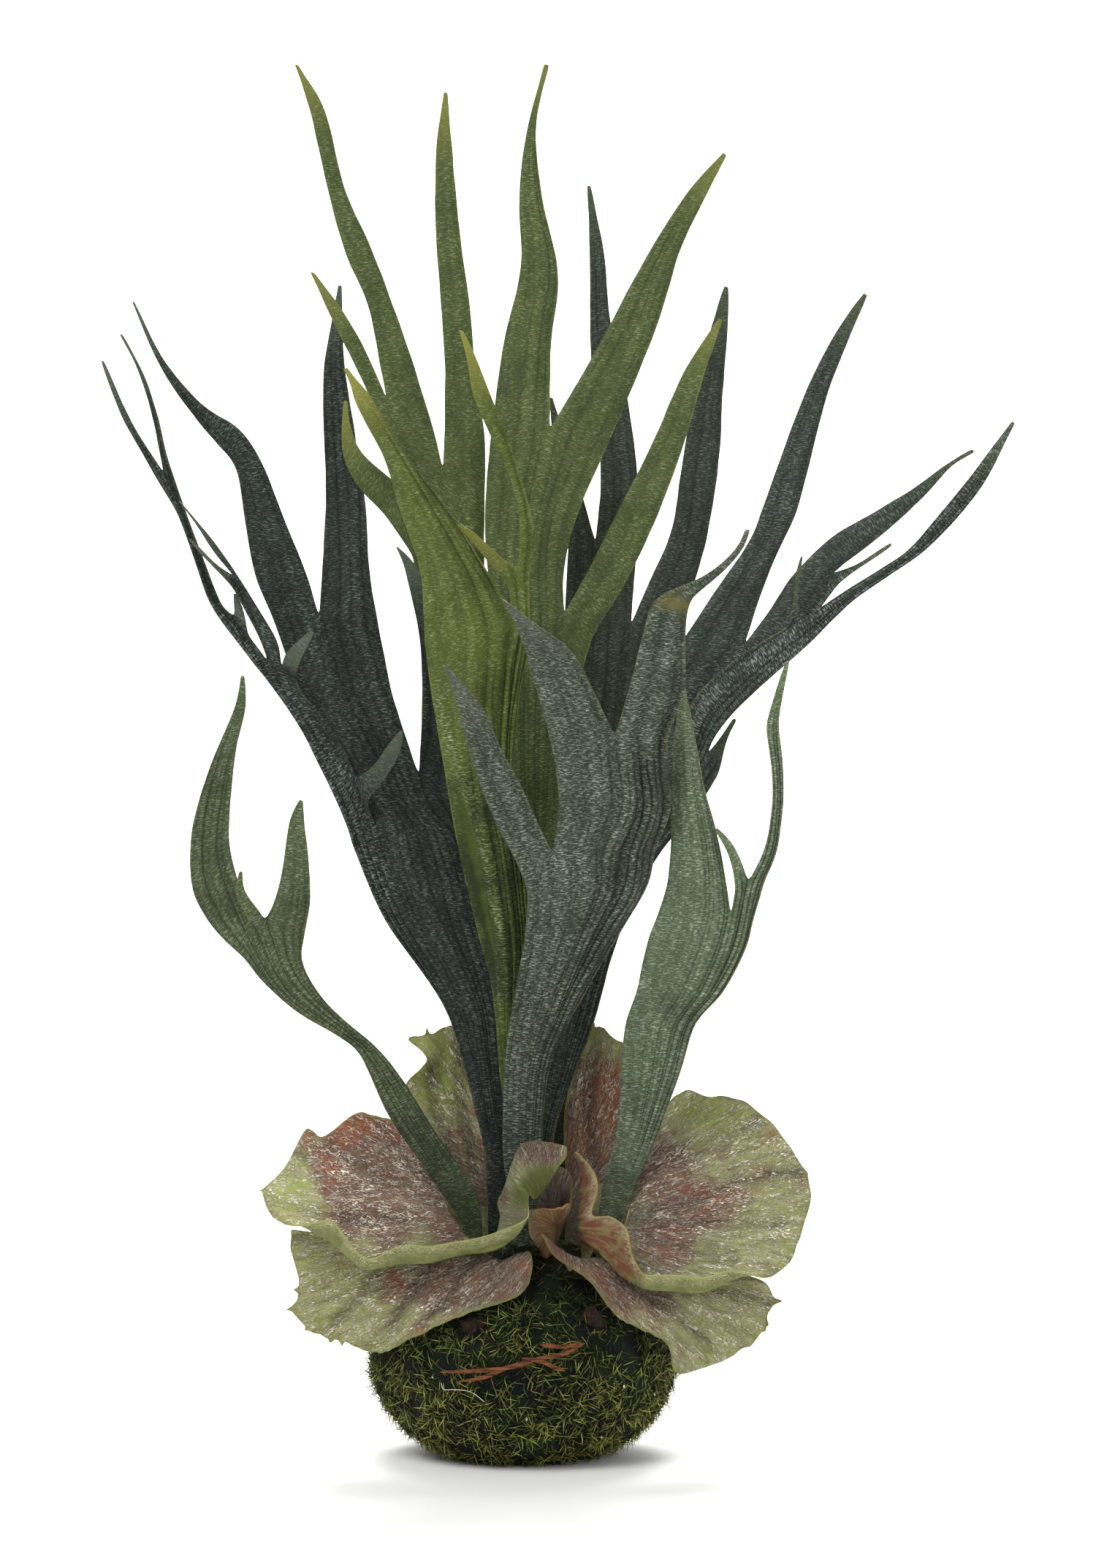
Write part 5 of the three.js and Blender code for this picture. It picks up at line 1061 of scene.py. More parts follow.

# %% [markdown]
# ## Colour in blotches
#
# A shield dies from the crown outward, so one leaf holds green, mauve-brown and rusty orange
# side by side. The blotches are given as soft round spots: (x, z, radius, strength) in the
# front view. Noise in the materials then frays their edges. A strength below nought clears
# that colour away again. Rust is the colour of the underside, where a lip rolls over.

# %% Where each colour lies
BLOTCHES = dict(
    shield_upper_left=dict(
        brown=[(-55, 92, 42, 1.1), (-30, 80, 16, 0.6), (-85, 91, 10, -1.3), (-90, 84, 10, -1.0),
               (-40, 73, 8, -0.7), (-20, 73.5, 7, -0.6), (-60, 70, 7, -0.8), (-78, 82, 8, -0.5),
               (0, 104, 10, 1.2), (-16, 88, 8, 0.7)],
        orange=[(-66, 111, 8, 1.0), (-58, 114, 7, 0.9), (-50, 112, 7, 1.0), (-72, 101, 8, 0.6),
                (-42, 106, 7, 0.7), (-71, 93, 6, 0.4), (-80, 108, 4, 0.9), (-46, 92, 9, 0.3)],
        green=[(-83, 90, 6, 0.8), (-89, 88, 5, 0.6), (-81, 100, 4, 0.4), (-86, 82, 6, 0.4)],
        bare=[(0, 92, 8, 1.6), (-5, 88, 6, 1), (5, 95, 4, 1)], rust=[]),
    shield_lower_left=dict(
        brown=[(-34, 58, 15, 1.1), (-15, 60, 15, 1.0), (-50, 57, 9, 0.7), (-6, 64, 9, 0.7)],
        orange=[(-50, 57, 7, 0.5), (-40, 41, 7, 0.6), (-30, 45, 6, 0.6), (-5, 64, 5, 0.7),
                (-10, 52, 5, 0.6), (-36, 60, 7, 0.4), (-24, 62, 6, 0.4)],
        green=[(-82, 62, 7, 0.6), (-74, 44, 8, 0.4), (-55, 36, 6, 0.6), (-70, 56, 10, 0.3)],
        rust=[(-14, 56, 20, 1.0)]),
    shield_rear_left=dict(
        brown=[(-14, 122, 9, 0.6), (-30, 104, 10, 0.6), (-22, 92, 12, 0.9), (-38, 122, 5, 0.4)],
        orange=[(-18, 118, 7, 1.3), (-21, 128, 6, 0.8), (-17, 104, 8, 0.9), (-28, 110, 6, 0.4)],
        green=[(-34, 128, 15, 1.4), (-24, 140, 9, 1.2), (-40, 140, 9, 1.3)],
        rust=[]),
    shield_rear_right=dict(
        brown=[(11, 112, 12, 1.2), (11, 128, 11, 1.0), (24, 100, 14, 1.2), (24, 120, 12, 1.0),
               (9, 98, 10, 1.2), (10, 80, 12, 1.4), (30, 84, 8, 1)],
        orange=[(20, 112, 15, 0.8), (24, 128, 12, 0.8), (10, 104, 8, 0.9)],
        green=[(17, 143, 6, 1.2), (28, 138, 7, 0.5), (9, 124, 4, 0.8)],
        rust=[]),
    shield_upper_right=dict(
        brown=[(42, 96, 17, 1.1), (42, 72, 15, 1.1), (56, 84, 11, 1.0), (68, 87, 7, 0.8),
               (63, 106, 5, 0.4), (20, 80, 14, 1.1), (15, 96, 8, 1.2)],
        orange=[(15, 92, 12, 1.0), (22, 74, 9, 0.9), (79, 109, 6, 0.5), (44, 72, 12, 0.45),
                (60, 86, 12, 0.4), (46, 90, 10, 0.3), (90, 93, 4, 0.5), (74, 95, 7, 0.35),
                (62, 104, 6, 0.3)],
        green=[(60, 116, 12, 0.8), (88, 80, 9, 0.4), (50, 119, 8, 0.7), (84, 66, 8, 0.4),
               (84, 102, 6, 0.3), (72, 112, 8, 0.5)],
        rust=[(14, 92, 14, 1.3), (22, 76, 12, 1.3), (31, 66, 9, 1.0)]),
    shield_lower_right=dict(
        brown=[(8, 68, 14, 1.2), (24, 56, 13, 1.2), (40, 51, 9, 0.8), (48, 33, 5, 0.4)],
        orange=[(4, 66, 8, 0.7), (18, 58, 8, 0.6), (27, 45, 6, 0.6), (38, 44, 5, 0.4)],
        green=[(60, 36, 12, 0.4), (76, 44, 7, 0.4), (52, 46, 5, 0.5)],
        rust=[(6, 66, 20, 1.0)]),
    shield_centre=dict(
        brown=[(5, 86, 22, 1.4)], orange=[(0, 78, 9, 0.5), (6, 76, 7, 0.4)],
        green=[],
        rust=[(5, 82, 22, 1.4)]),
)
print("shields with blotches:", len(BLOTCHES))

# %% Creases, teeth and spines
# Creases: each a path in the front view, its radius and its depth in mm
CREASES = dict(
    shield_upper_left=[
        ([(-30, 79), (-49, 84), (-71, 84), (-91, 88)], 3.5, -1.3),
        ([(-30, 82), (-52, 93), (-72, 104)], 3, 0.9), ([(-34, 90), (-46, 100), (-54, 112)], 3, 0.8),
        ([(-40, 81), (-56, 79), (-68, 80)], 2.6, 1.0)],
    shield_lower_left=[
        ([(-54, 66), (-62, 54), (-70.6, 45.6)], 2.6, 1.1),
        ([(-37, 66), (-44, 55), (-51, 44.5)], 3, 1.2), ([(-46, 64), (-53, 52), (-60, 42)], 3, -0.8),
        ([(-22, 69), (-29, 57), (-40, 44.5)], 3, 1.0),
        ([(-14, 66), (-18, 56), (-24, 48)], 2.6, 0.8)],
    shield_rear_left=[
        ([(-22, 100), (-27, 118), (-28, 140)], 3.5, 1.1),
        ([(-28, 100), (-36, 118), (-38, 130)], 3, 0.9)],
    shield_rear_right=[
        ([(18, 100), (16, 118), (17, 134)], 3, 1.0)],
    shield_upper_right=[
        ([(29, 82), (54, 87), (69.5, 95), (90, 95.4)], 2.8, 1.2),
        ([(29, 79), (54, 79), (82, 78)], 3, 0.9),
        ([(40, 100), (60, 103), (64, 109), (76, 114.4)], 2.8, 0.9),
        ([(32, 84), (44, 92), (58, 92)], 3, -0.8),
        ([(36, 74), (50, 70), (66, 66)], 2.6, 0.9)],
    shield_lower_right=[
        ([(36, 60), (56, 56), (74, 54), (80, 50)], 2.4, 1.0),
        ([(26, 60), (44, 50), (58, 36)], 2.8, 0.9),
        ([(30, 55), (38, 46), (46, 34)], 2.8, -0.9)],
    shield_centre=[
        ([(3, 76), (4, 90)], 2.2, 0.8)],
)

# Teeth and notches of the margins: x, z, how far it stands out in mm, and its reach
TEETH = dict(
    shield_upper_left=[
        (-80, 110, 1.5, 3), (-76.6, 107, -2.6, 3), (-61, 116, 1, 5), (-56, 113, -1.8, 4),
        (-51, 115, 1, 4), (-92, 80, -1.5, 3), (-72, 76, 1.6, 4), (-44, 70, 1, 3)],
    shield_lower_left=[
        (-83, 53, -1.6, 3), (-75.6, 39, -1.4, 2.4), (-86, 70, 1, 4), (-67, 37, -1, 2.4)],
    shield_rear_left=[(-44, 142, 1.4, 3), (-37, 144.6, -1, 3)],
    shield_rear_right=[(16, 145, 2.6, 3), (24, 141, -3, 5), (32, 139, -1, 4)],
    shield_upper_right=[
        (58, 123, -1.4, 4), (50, 124, 0.8, 4), (79, 112, 1, 4), (91, 95, 1.2, 2), (90, 90, 1, 2),
        (88, 71, -1, 3), (54.5, 121, -2, 4), (70, 119, 1, 3), (86, 104, 1, 3)],
    shield_lower_right=[
        (77.5, 47, -1.6, 2.6), (72, 38, 1.4, 2.2), (69, 36, -1, 2.4), (60, 31, 0.8, 2.4)],
    shield_centre=[],
)

# Spines: where the front view shows their points
SPINES = dict(
    shield_upper_left=[(-80, 111), (-96.4, 90), (-71.6, 80.6), (-33, 78.6), (-88, 78.4)],
    shield_lower_left=[(-87.4, 49), (-81, 42), (-72.4, 37.6), (-68, 36.4), (-85, 56)],
    shield_rear_left=[(-44.6, 142.4), (-39, 146)],
    shield_rear_right=[(19, 148.4)],
    shield_upper_right=[(51.6, 62), (91.6, 96)],
    shield_lower_right=[(83.4, 52), (78.2, 43.8), (77, 41.6), (71.6, 36.4)],
    shield_centre=[],
)


def blotch(spots, x, z):
    total = 0
    for spot_x, spot_z, radius, strength in spots:
        total += strength * falloff(math.hypot(x - spot_x, z - spot_z) / radius)
    return min(1, max(0, total))


print("creases:", sum(len(paths) for paths in CREASES.values()))

# %% [markdown]
# ## Growing a shield
#
# The felt and the wrinkles of a shield fan out from the crown. Each vertex gets a grain place:
# its angle round the crown, as mm on a circle of 60 mm, and its distance from the crown.

# %% How shields grow
CROWN_X, CROWN_Z = 5, 78
GRAIN_RADIUS = 60
FINER = 3
WRINKLE_DEPTH = 0.75
SHIELD_THICKNESS = 0.9
THIN_EDGE = 0.45
SHIELD_VALUES = ("brown", "orange", "green", "rust", "bare", "crease")
FREE_LIPS = ("shield_upper_left", "shield_upper_right")


def placed(point):
    return point if isinstance(point, Vector) else from_front(*point)


def margin_wave(points, row, along, form):
    """Waves the row toward the free margin, and cuts the margin's teeth."""
    share = row / along
    fade = math.sin(math.pi * share)
    across = len(points) - 1
    phase = 2 * math.pi * form["count"] * share
    for column, point in enumerate(points):
        outward = (column / across) ** 2
        point.y += form["ripple"] * outward * fade * math.sin(phase)
    edge, inner = points[-1], points[-2]
    size = 0.5 + noise.noise(Vector((row * 0.9, across, 0)))
    edge += (inner - edge).normalized() * form["tooth"] * fade * max(0, size)


def wrinkle(angle, reach, seed):
    folds = noise.noise(Vector((angle / 4.5, reach / 34, seed)))
    fine = noise.noise(Vector((angle / 1.7, reach / 14, seed + 4)))
    return WRINKLE_DEPTH * (folds + 0.35 * fine)


def cut_teeth(rows, teeth):
    """Moves the margin's vertices outward at each tooth, and inward at each notch."""
    pairs = [(row[-1], row[-2]) for row in rows] + [(row[0], row[1]) for row in rows]
    pairs += list(zip(rows[-1], rows[-2])) + list(zip(rows[0], rows[1]))
    for edge, inner in pairs:
        x, z = front_view(edge.co)
        outward = (edge.co - inner.co).normalized()
        for tooth_x, tooth_z, height, reach in teeth:
            near = max(0, 1 - math.hypot(x - tooth_x, z - tooth_z) / reach)
            edge.co += outward * height * near


print("wrinkles, mm:", WRINKLE_DEPTH)

# %% A shield's sheet
def grow_spines(sheet, spines):
    """Draws the nearest edge of the margin out to a point for each spine."""
    for x, z in spines:
        reaches = {}
        for edge in sheet.mesh.edges:
            if edge.is_boundary:
                middle = (edge.verts[0].co + edge.verts[1].co) / 2
                reaches[edge] = (Vector(front_view(middle)) - Vector((x, z))).length
        root = min(reaches, key=reaches.get)
        middle = (root.verts[0].co + root.verts[1].co) / 2
        point = from_front(x, z, middle.y)
        ends = extruded(sheet.mesh, [root])
        bmesh.ops.pointmerge(sheet.mesh, verts=ends, merge_co=middle.lerp(point, 1.25))


def grow_shield(name, form):
    sheet = Sheet(SHIELD_VALUES)
    sheet.layers["grain"] = sheet.mesh.verts.layers.float_vector.new("grain")
    lines = [[placed(point) for point in line] for line in form["lines"]]
    rails = list(zip(*lines))
    across, along = form["across"] * FINER, form["along"] * FINER
    rows, last, row = [], None, None
    for step in range(along + 1):
        guides = [between(rail, step / along) for rail in rails]
        points = [between(guides, column / across) for column in range(across + 1)]
        margin_wave(points, step, along, form)
        row = sheet.next_row(row, points) if row else sheet.first_row(points)
        rows.append(row)
    cut_teeth(rows, TEETH[name])
    seed = len(name) * 3.1
    sheet.mesh.normal_update()
    normals = sum((vertex.normal for vertex in rows[len(rows) // 2]), Vector())
    upward = -1 if normals.z < 0 else 1
    widths = [measure([vertex.co for vertex in line]) for line in rows]
    lengths = [measure([vertex.co for vertex in line]) for line in zip(*rows)]
    for step, line in enumerate(rows):
        for column, vertex in enumerate(line):
            x, z = front_view(vertex.co)
            side, run = widths[step][column], lengths[column][step]
            margins = [widths[step][-1] - side, run, lengths[column][-1] - run]
            if name in FREE_LIPS:
                margins.append(side)
            angle = GRAIN_RADIUS * math.atan2(x - CROWN_X, z - CROWN_Z)
            reach = math.hypot(x - CROWN_X, z - CROWN_Z)
            vertex[sheet.layers["place"]] = (side, run, min(margins))
            vertex[sheet.layers["grain"]] = (angle, reach, 0)
            for colour, spots in BLOTCHES[name].items():
                vertex[sheet.layers[colour]] = blotch(spots, x, z)
            inside = min(1, min(margins) / 4)
            body = THIN_EDGE + (1 - THIN_EDGE) * smoothstep(min(margins), 0, 1.6)
            vertex[sheet.body][0] = body
            crease = painted(CREASES[name], x, z)
            vertex[sheet.layers["crease"]] = crease
            lift = inside * (wrinkle(angle, reach, seed) - crease)
            vertex.co += vertex.normal * lift * upward
    grow_spines(sheet, SPINES[name])
    return sheet


print("grain circle, mm:", GRAIN_RADIUS)

# %% [markdown]
# ## Papery leaf under wool
#
# The upper side of a shield is woolly: pale hairs that run outward from the crown over a green,
# mauve or rusty leaf. The underside shows where a lip rolls over, and is smooth and pale. The
# cut rim is thin, so light gets through it and it looks lighter still.

# %% The upper side of a shield
def grain_noise(add, across, along, detail, distortion=0.4):
    """Streaks that fan out from the crown, this many mm across and along."""
    grain = add("Attribute", attribute_name="grain")["Vector"]
    laid = add("Mapping", {"Vector": grain, "Scale": (1 / across, 1 / along, 1)})["Vector"]
    return add("TexNoise", {
        "Vector": laid, "Scale": 1.0, "Detail": detail, "Roughness": 0.6,
        "Distortion": distortion}, noise_dimensions="2D")["Fac"]


def blotched(add, base, colours, fray):
    """Mixes the colours over the base by their attributes, with edges frayed by noise."""
    colour = linear(base)
    for name, hexa in colours.items():
        amount = add("Attribute", attribute_name=name)["Fac"]
        spread = add("Math", [fray, -0.5], operation="ADD")[0]
        frayed = add("Math", [spread, 1.9, amount], operation="MULTIPLY_ADD")[0]
        share = add("MapRange", [frayed, 0.15, 0.85])["Result"]
        colour = add("Mix", {
            SHARE: share, FIRST: colour, SECOND: linear(hexa)}, data_type="RGBA")[MIXED]
    return colour


def with_rim(add, colour, reach, strength, hexa):
    """Gives a colour the lighter tone of the margin, strongest at its edge and gone at reach mm."""
    place = add("Attribute", attribute_name="place")["Vector"]
    edge = add("SeparateXYZ", [place])["Z"]
    rim = add("MapRange", [edge, 0.2, reach, strength, 0.0])["Result"]
    return add("Mix", {SHARE: rim, FIRST: colour, SECOND: linear(hexa)}, data_type="RGBA")[MIXED]


def woolly_leaf():
    """A dying papery leaf under curled wool: it gives the eye soft, matted blotches."""
    material, add, surface = new_material("woolly_shield_leaf")
    spot = add("TexCoord")["Object"]
    fray = add("TexNoise", {"Vector": spot, "Scale": 170.0, "Detail": 5.0, "Roughness": 0.7})["Fac"]
    colour = blotched(add, "#969762", {
        "brown": "#6c4c3e", "orange": "#87492b", "green": "#8d9746"}, fray)
    # Painted shade in the creases: fine ones that fan out, and the listed folds
    creases = grain_noise(add, 2.2, 16.0, 3.0)
    fine = add("MapRange", [creases, 0.36, 0.5, 0.35, 0.0])["Result"]
    fold = add("Attribute", attribute_name="crease")["Fac"]
    dark = add("Math", [fold, 0.5, fine], operation="MULTIPLY_ADD", use_clamp=True)[0]
    shaded = add("Mix", {
        SHARE: dark, FIRST: colour, SECOND: linear("#3a2a20")}, data_type="RGBA")[MIXED]
    # Wool: curled pale hairs, matted in patches
    wool = grain_noise(add, 0.6, 2.5, 2.0, distortion=2.0)
    strands = add("MapRange", [wool, 0.48, 0.58])["Result"]
    matted = grain_noise(add, 3.5, 11.0, 4.0, distortion=1.5)
    cover = add("MapRange", [matted, 0.36, 0.58, 0.2, 1.0])["Result"]
    hairs = add("Math", [strands, cover], operation="MULTIPLY")[0]
    covered = add("Mix", {
        SHARE: hairs, FIRST: shaded, SECOND: linear("#dcd4c1")}, data_type="RGBA")[MIXED]
    bare = add("Attribute", attribute_name="bare")["Fac"]
    woolly = add("Mix", {
        SHARE: bare, FIRST: covered, SECOND: linear("#747c42")}, data_type="RGBA")[MIXED]
    woolly_relief = add("Math", [matted, 1.6, hairs], operation="MULTIPLY_ADD")[0]
    edged = with_rim(add, woolly, 1.4, 0.8, "#8f8f55")
    finish_surface(surface, edged, {
        "Roughness": 0.85, "Specular IOR Level": 0.12, "Sheen Weight": 0.05,
        "Sheen Roughness": 0.5, "Sheen Tint": linear("#e6ded0")}, height=woolly_relief, depth=0.001)
    return material

upper_side = woolly_leaf()
print("upper side:", upper_side.name)

# %% The underside and the rim
def smooth_underside():
    """The hairless underside: it gives the eye a plain, paler roll at the lips."""
    material, add, surface = new_material("smooth_shield_underside")
    spot = add("TexCoord")["Object"]
    fray = add("TexNoise", {"Vector": spot, "Scale": 90.0, "Detail": 3.0, "Roughness": 0.5})["Fac"]
    colour = blotched(add, "#64683b", {"rust": "#65402f"}, fray)
    clouds = grain_noise(add, 6.0, 5.0, 4.0)
    paler = add("MapRange", [clouds, 0.42, 0.64, 0.0, 0.4])["Result"]
    veined = add("Mix", {
        SHARE: paler, FIRST: colour, SECOND: linear("#8b8a58")}, data_type="RGBA")[MIXED]
    place = add("Attribute", attribute_name="place")["Vector"]
    edge = add("SeparateXYZ", [place])["Z"]
    # Some wool grows over the free edge
    wool = grain_noise(add, 0.55, 2.0, 3.0, distortion=2.0)
    strands = add("MapRange", [wool, 0.5, 0.64])["Result"]
    near = add("MapRange", [edge, 1.0, 4.5, 0.9, 0.0])["Result"]
    hairs = add("Math", [strands, near], operation="MULTIPLY")[0]
    hairy = add("Mix", {
        SHARE: hairs, FIRST: veined, SECOND: linear("#bdb69c")}, data_type="RGBA")[MIXED]
    edged = with_rim(add, hairy, 1.2, 0.7, "#8f9058")
    finish_surface(surface, edged, {
        "Roughness": 0.65, "Specular IOR Level": 0.15}, height=clouds, depth=0.0008)
    return material


def thin_rim():
    """The cut margin: it gives the eye a thin light line round the leaf."""
    material, add, surface = new_material("thin_shield_rim")
    spot = add("TexCoord")["Object"]
    fray = add("TexNoise", {"Vector": spot, "Scale": 220.0, "Detail": 3.0, "Roughness": 0.6})["Fac"]
    colour = blotched(add, "#94965c", {"rust": "#85603f"}, fray)
    finish_surface(surface, colour, {
        "Roughness": 0.7, "Specular IOR Level": 0.15}, height=fray, depth=0.0002)
    return material


shield_materials = [upper_side, smooth_underside(), thin_rim()]
print("shield materials:", [material.name for material in shield_materials])

# %% Make the shields
for node, form in SHIELDS.items():
    sheet = grow_shield(node, form)
    piece = finish_leaf(sheet, node, shield_materials, SHIELD_THICKNESS)
    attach(piece, "root")
    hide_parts(node)
    print(piece.name, "triangles:", triangles(piece))

# %% [markdown]
# ## The ball under the moss
#
# The ball is wet, nearly black soil, and its hollows stay dark between the strands. A sphere is
# shaped by the same measures as the CAD ball and drawn a little inside it, so that the moss
# makes the outline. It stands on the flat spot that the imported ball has.

# %% Shape the ball
BALL_INSET = 1.3
LUMP_SIZE = 9
LUMP_HEIGHT = 0.9


def ball_point(direction, lift=0.0):
    """A point on the ball in this direction from its centre, lifted off it by so many mm."""
    up = math.asin(max(-1, min(1, direction.z)))
    around = math.atan2(direction.y, direction.x)
    reach = Vector((BALL["half_width"], BALL["half_depth"], BALL["half_height"]))
    swell = 1 + tuft(around, up) / BALL["half_width"]
    point = Vector([a * b * swell for a, b in zip(reach, direction)]) + direction * lift
    point.z = max(0, point.z + BALL["z"])
    return point


def as_piece(mesh, name, materials):
    """A piece on the ball from a bmesh in mm, with these materials."""
    piece = as_object(mesh, name, materials)
    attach(piece, "root")
    return piece


def wet_soil():
    """Wet, nearly black crumbs: they give the eye dark hollows between the strands."""
    material, add, surface = new_material("wet_black_soil")
    spot = add("TexCoord")["Object"]
    crumbs = add("TexNoise", {"Vector": spot, "Scale": 420.0, "Detail": 4.0, "Roughness": 0.7})["Fac"]
    patches = add("TexNoise", {"Vector": spot, "Scale": 90.0, "Detail": 2.0})["Fac"]
    green = add("MapRange", [patches, 0.42, 0.62])["Result"]
    colour = add("Mix", {
        SHARE: green, FIRST: linear("#0f1012"), SECOND: linear("#172010")}, data_type="RGBA")[MIXED]
    finish_surface(surface, colour, {
        "Roughness": 0.8, "Specular IOR Level": 0.12}, height=crumbs, depth=0.0012)
    return material


mesh = bmesh.new()
bmesh.ops.create_uvsphere(mesh, u_segments=120, v_segments=72, radius=1)
for vertex in mesh.verts:
    lumps = noise.noise(vertex.co * (BALL["half_width"] / LUMP_SIZE))
    vertex.co = ball_point(vertex.co.normalized(), LUMP_HEIGHT * lumps - BALL_INSET)
ball = as_piece(mesh, "moss_ball_soil", [wet_soil()])
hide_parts("moss_ball")
print("ball triangles:", triangles(ball))

# %% [markdown]
# ## Moss
#
# The moss is thousands of strands, 3 to 7 mm long and up to half a millimetre thick, that lie
# criss-cross. Hair curves would be quick to grow, but they are lost when the plant is exported,
# so each strand is a thin three-sided mesh. A few sprigs of five strands are made once, and
# their copies are strewn over the ball with a seeded draw.

# %% Make the sprigs
STRANDS_PER_SPRIG = 5
SPRIG_KINDS = 18
STRAND_STEPS = 3
chance = random.Random(11)


def grow_strand(mesh, shade, tone):
    """A thin three-sided strand that leans over, bends and ends in a point."""
    width = chance.uniform(0.12, 0.25)
    length = chance.uniform(3.2, 7.0)
    around = chance.uniform(0, 2 * math.pi)
    lean = math.radians(chance.uniform(52, 88))
    bend = math.radians(chance.uniform(-8, 14))
    sway = math.radians(chance.uniform(-12, 12))
    foot = Vector((chance.uniform(-2.2, 2.2), chance.uniform(-2.2, 2.2), -0.6))
    ring = bmesh.ops.create_circle(mesh, segments=3, radius=width)["verts"]
    turn = Matrix.Rotation(around, 3, "Z") @ Matrix.Rotation(lean, 3, "Y")
    bmesh.ops.rotate(mesh, verts=ring, matrix=turn)
    bmesh.ops.translate(mesh, verts=ring, vec=foot)
    grown = list(ring)
    for step in range(STRAND_STEPS):
        edges = [edge for edge in mesh.edges if set(edge.verts) <= set(ring)]
        ring = extruded(mesh, edges)
        turn = turn @ Matrix.Rotation(bend, 3, "Y") @ Matrix.Rotation(sway, 3, "X")
        foot = foot + turn @ Vector((0, 0, length / STRAND_STEPS))
        size = width * (0.9, 0.7, 0.12)[step]
        for corner, vertex in enumerate(ring):
            angle = 2 * math.pi * corner / 3
            vertex.co = foot + turn @ Vector((size * math.cos(angle), size * math.sin(angle), 0))
        grown += ring
    colour = chance.random()
    for vertex in grown:
        vertex[shade] = colour
        vertex[tone] = min(1, max(0, vertex.co.z / 2.5))


def make_sprig(index):
    mesh = bmesh.new()
    shade = mesh.verts.layers.float.new("shade")
    tone = mesh.verts.layers.float.new("tone")
    for _ in range(STRANDS_PER_SPRIG):
        grow_strand(mesh, shade, tone)
    bmesh.ops.recalc_face_normals(mesh, faces=mesh.faces)
    sprig = bpy.data.meshes.new("sprig_" + str(index))
    mesh.to_mesh(sprig)
    mesh.free()
    return sprig


sprigs = [make_sprig(index) for index in range(SPRIG_KINDS)]
print("faces in a sprig:", len(sprigs[0].polygons))

# %% [markdown]
# ## The colours of the moss
#
# Each strand has its own shade, from deep green over yellow-green to straw. Low on the ball the
# moss is brighter, and toward the crown it gets painted shade, as it lies under the shields.
# Strands deep in the cushion are painted darker than their tips, because little light reaches them.

# %% A strand's material
def moss_strand():
    """Living moss: it gives the eye a lively mix of deep green, yellow-green and straw."""
    material, add, surface = new_material("living_moss_strand")
    spot = add("TexCoord")["Object"]
    shade = add("Attribute", attribute_name="shade")["Fac"]
    tone = add("Attribute", attribute_name="tone")["Fac"]
    patches = add("TexNoise", {"Vector": spot, "Scale": 75.0, "Detail": 2.0})["Fac"]
    height = add("SeparateXYZ", [spot])["Z"]
    # Painted shade by height: darker toward the crown under the shields, brighter low on the ball
    low = add("MapRange", [height, 0.01, 0.06, 0.32, -0.2])["Result"]
    mixed = add("Math", [shade, patches], operation="ADD")[0]
    lit = add("Math", [mixed, low], operation="ADD")[0]
    ramp = add("MapRange", [lit, 0.88, 1.42])["Result"]
    deep = add("Mix", {
        SHARE: ramp, FIRST: linear("#18230f"), SECOND: linear("#abb458")}, data_type="RGBA")[MIXED]
    straw = add("MapRange", [shade, 0.93, 0.97, 0.0, 0.8])["Result"]
    dried = add("Mix", {SHARE: straw, FIRST: deep, SECOND: linear("#a59a5c")}, data_type="RGBA")[MIXED]
    buried = add("MapRange", [tone, 0.0, 0.5, 0.75, 0.0])["Result"]
    colour = add("Mix", {
        SHARE: buried, FIRST: dried, SECOND: linear("#161d10")}, data_type="RGBA")[MIXED]
    finish_surface(surface, colour, {"Roughness": 0.65, "Specular IOR Level": 0.15})
    return material


strand_material = moss_strand()
print("material:", strand_material.name)

# %% [markdown]
# ## Strewing the moss
#
# Directions are drawn evenly over the sphere. Hollows a few millimetres wide are left nearly
# bare, because a closed carpet would look like turf. Under the shields the cushion is pressed
# flat, and nothing grows below the floor.

# %% Strew the moss
LOWEST_SPRIG = 0.6
BARE_SHARE = 0.9
STREWN_PIECES = 4
SPRIGS_PER_PIECE = 1750
HOLLOW_SIZE = 6.5
HOLLOW_LEVEL = -0.06
CROWN_HEIGHT = 60
CROWN_PRESS = 0.35
ABOVE_FLOOR = 0.05


def random_direction():
    up = chance.uniform(-0.84, 0.98)
    around = chance.uniform(0, 2 * math.pi)
    level = math.sqrt(1 - up * up)
    return Vector((level * math.cos(around), level * math.sin(around), up))


def is_hollow(point):
    openness = noise.noise(point / HOLLOW_SIZE)
    return openness < HOLLOW_LEVEL and chance.random() < BARE_SHARE


def strew(mesh, sprig):
    direction = random_direction()
    point = ball_point(direction, -0.9)
    if is_hollow(point) or point.z < LOWEST_SPRIG:
        return
    spin = Matrix.Rotation(chance.uniform(0, 2 * math.pi), 4, "Z")
    rise = direction.to_track_quat("Z", "Y").to_matrix().to_4x4()
    pressed = CROWN_PRESS if point.z > CROWN_HEIGHT else 1
    flat = Matrix.Diagonal((1, 1, pressed, 1))
    copy = sprig.copy()
    copy.transform(Matrix.Translation(point) @ rise @ flat @ spin)
    mesh.from_mesh(copy)
    bpy.data.meshes.remove(copy)


for number in range(1, STREWN_PIECES + 1):
    mesh = bmesh.new()
    for _ in range(SPRIGS_PER_PIECE):
        strew(mesh, chance.choice(sprigs))
    for vertex in mesh.verts:
        vertex.co.z = max(ABOVE_FLOOR, vertex.co.z)
    moss = as_piece(mesh, "moss_strands_" + str(number), [strand_material])
    print(moss.name, "triangles:", triangles(moss))
for sprig in sprigs:
    bpy.data.meshes.remove(sprig)

# %% [markdown]
# ## Needles and crumbs on the moss
#
# Four dry needles lie on the front of the ball. Each is a flattened, grooved strip, so its ring
# of vertices is wider than thick, and the groove is in the ring itself. Crumbs of soil, a white
# thread and a few pale specks are stuck between the strands.

# %% Needles
NEEDLE_LIFT = 1.7
NEEDLE_STEPS = 6
NEEDLE_WIDTH = 0.75
THREAD_STEPS = 20
THREAD_WIDTH = 0.14


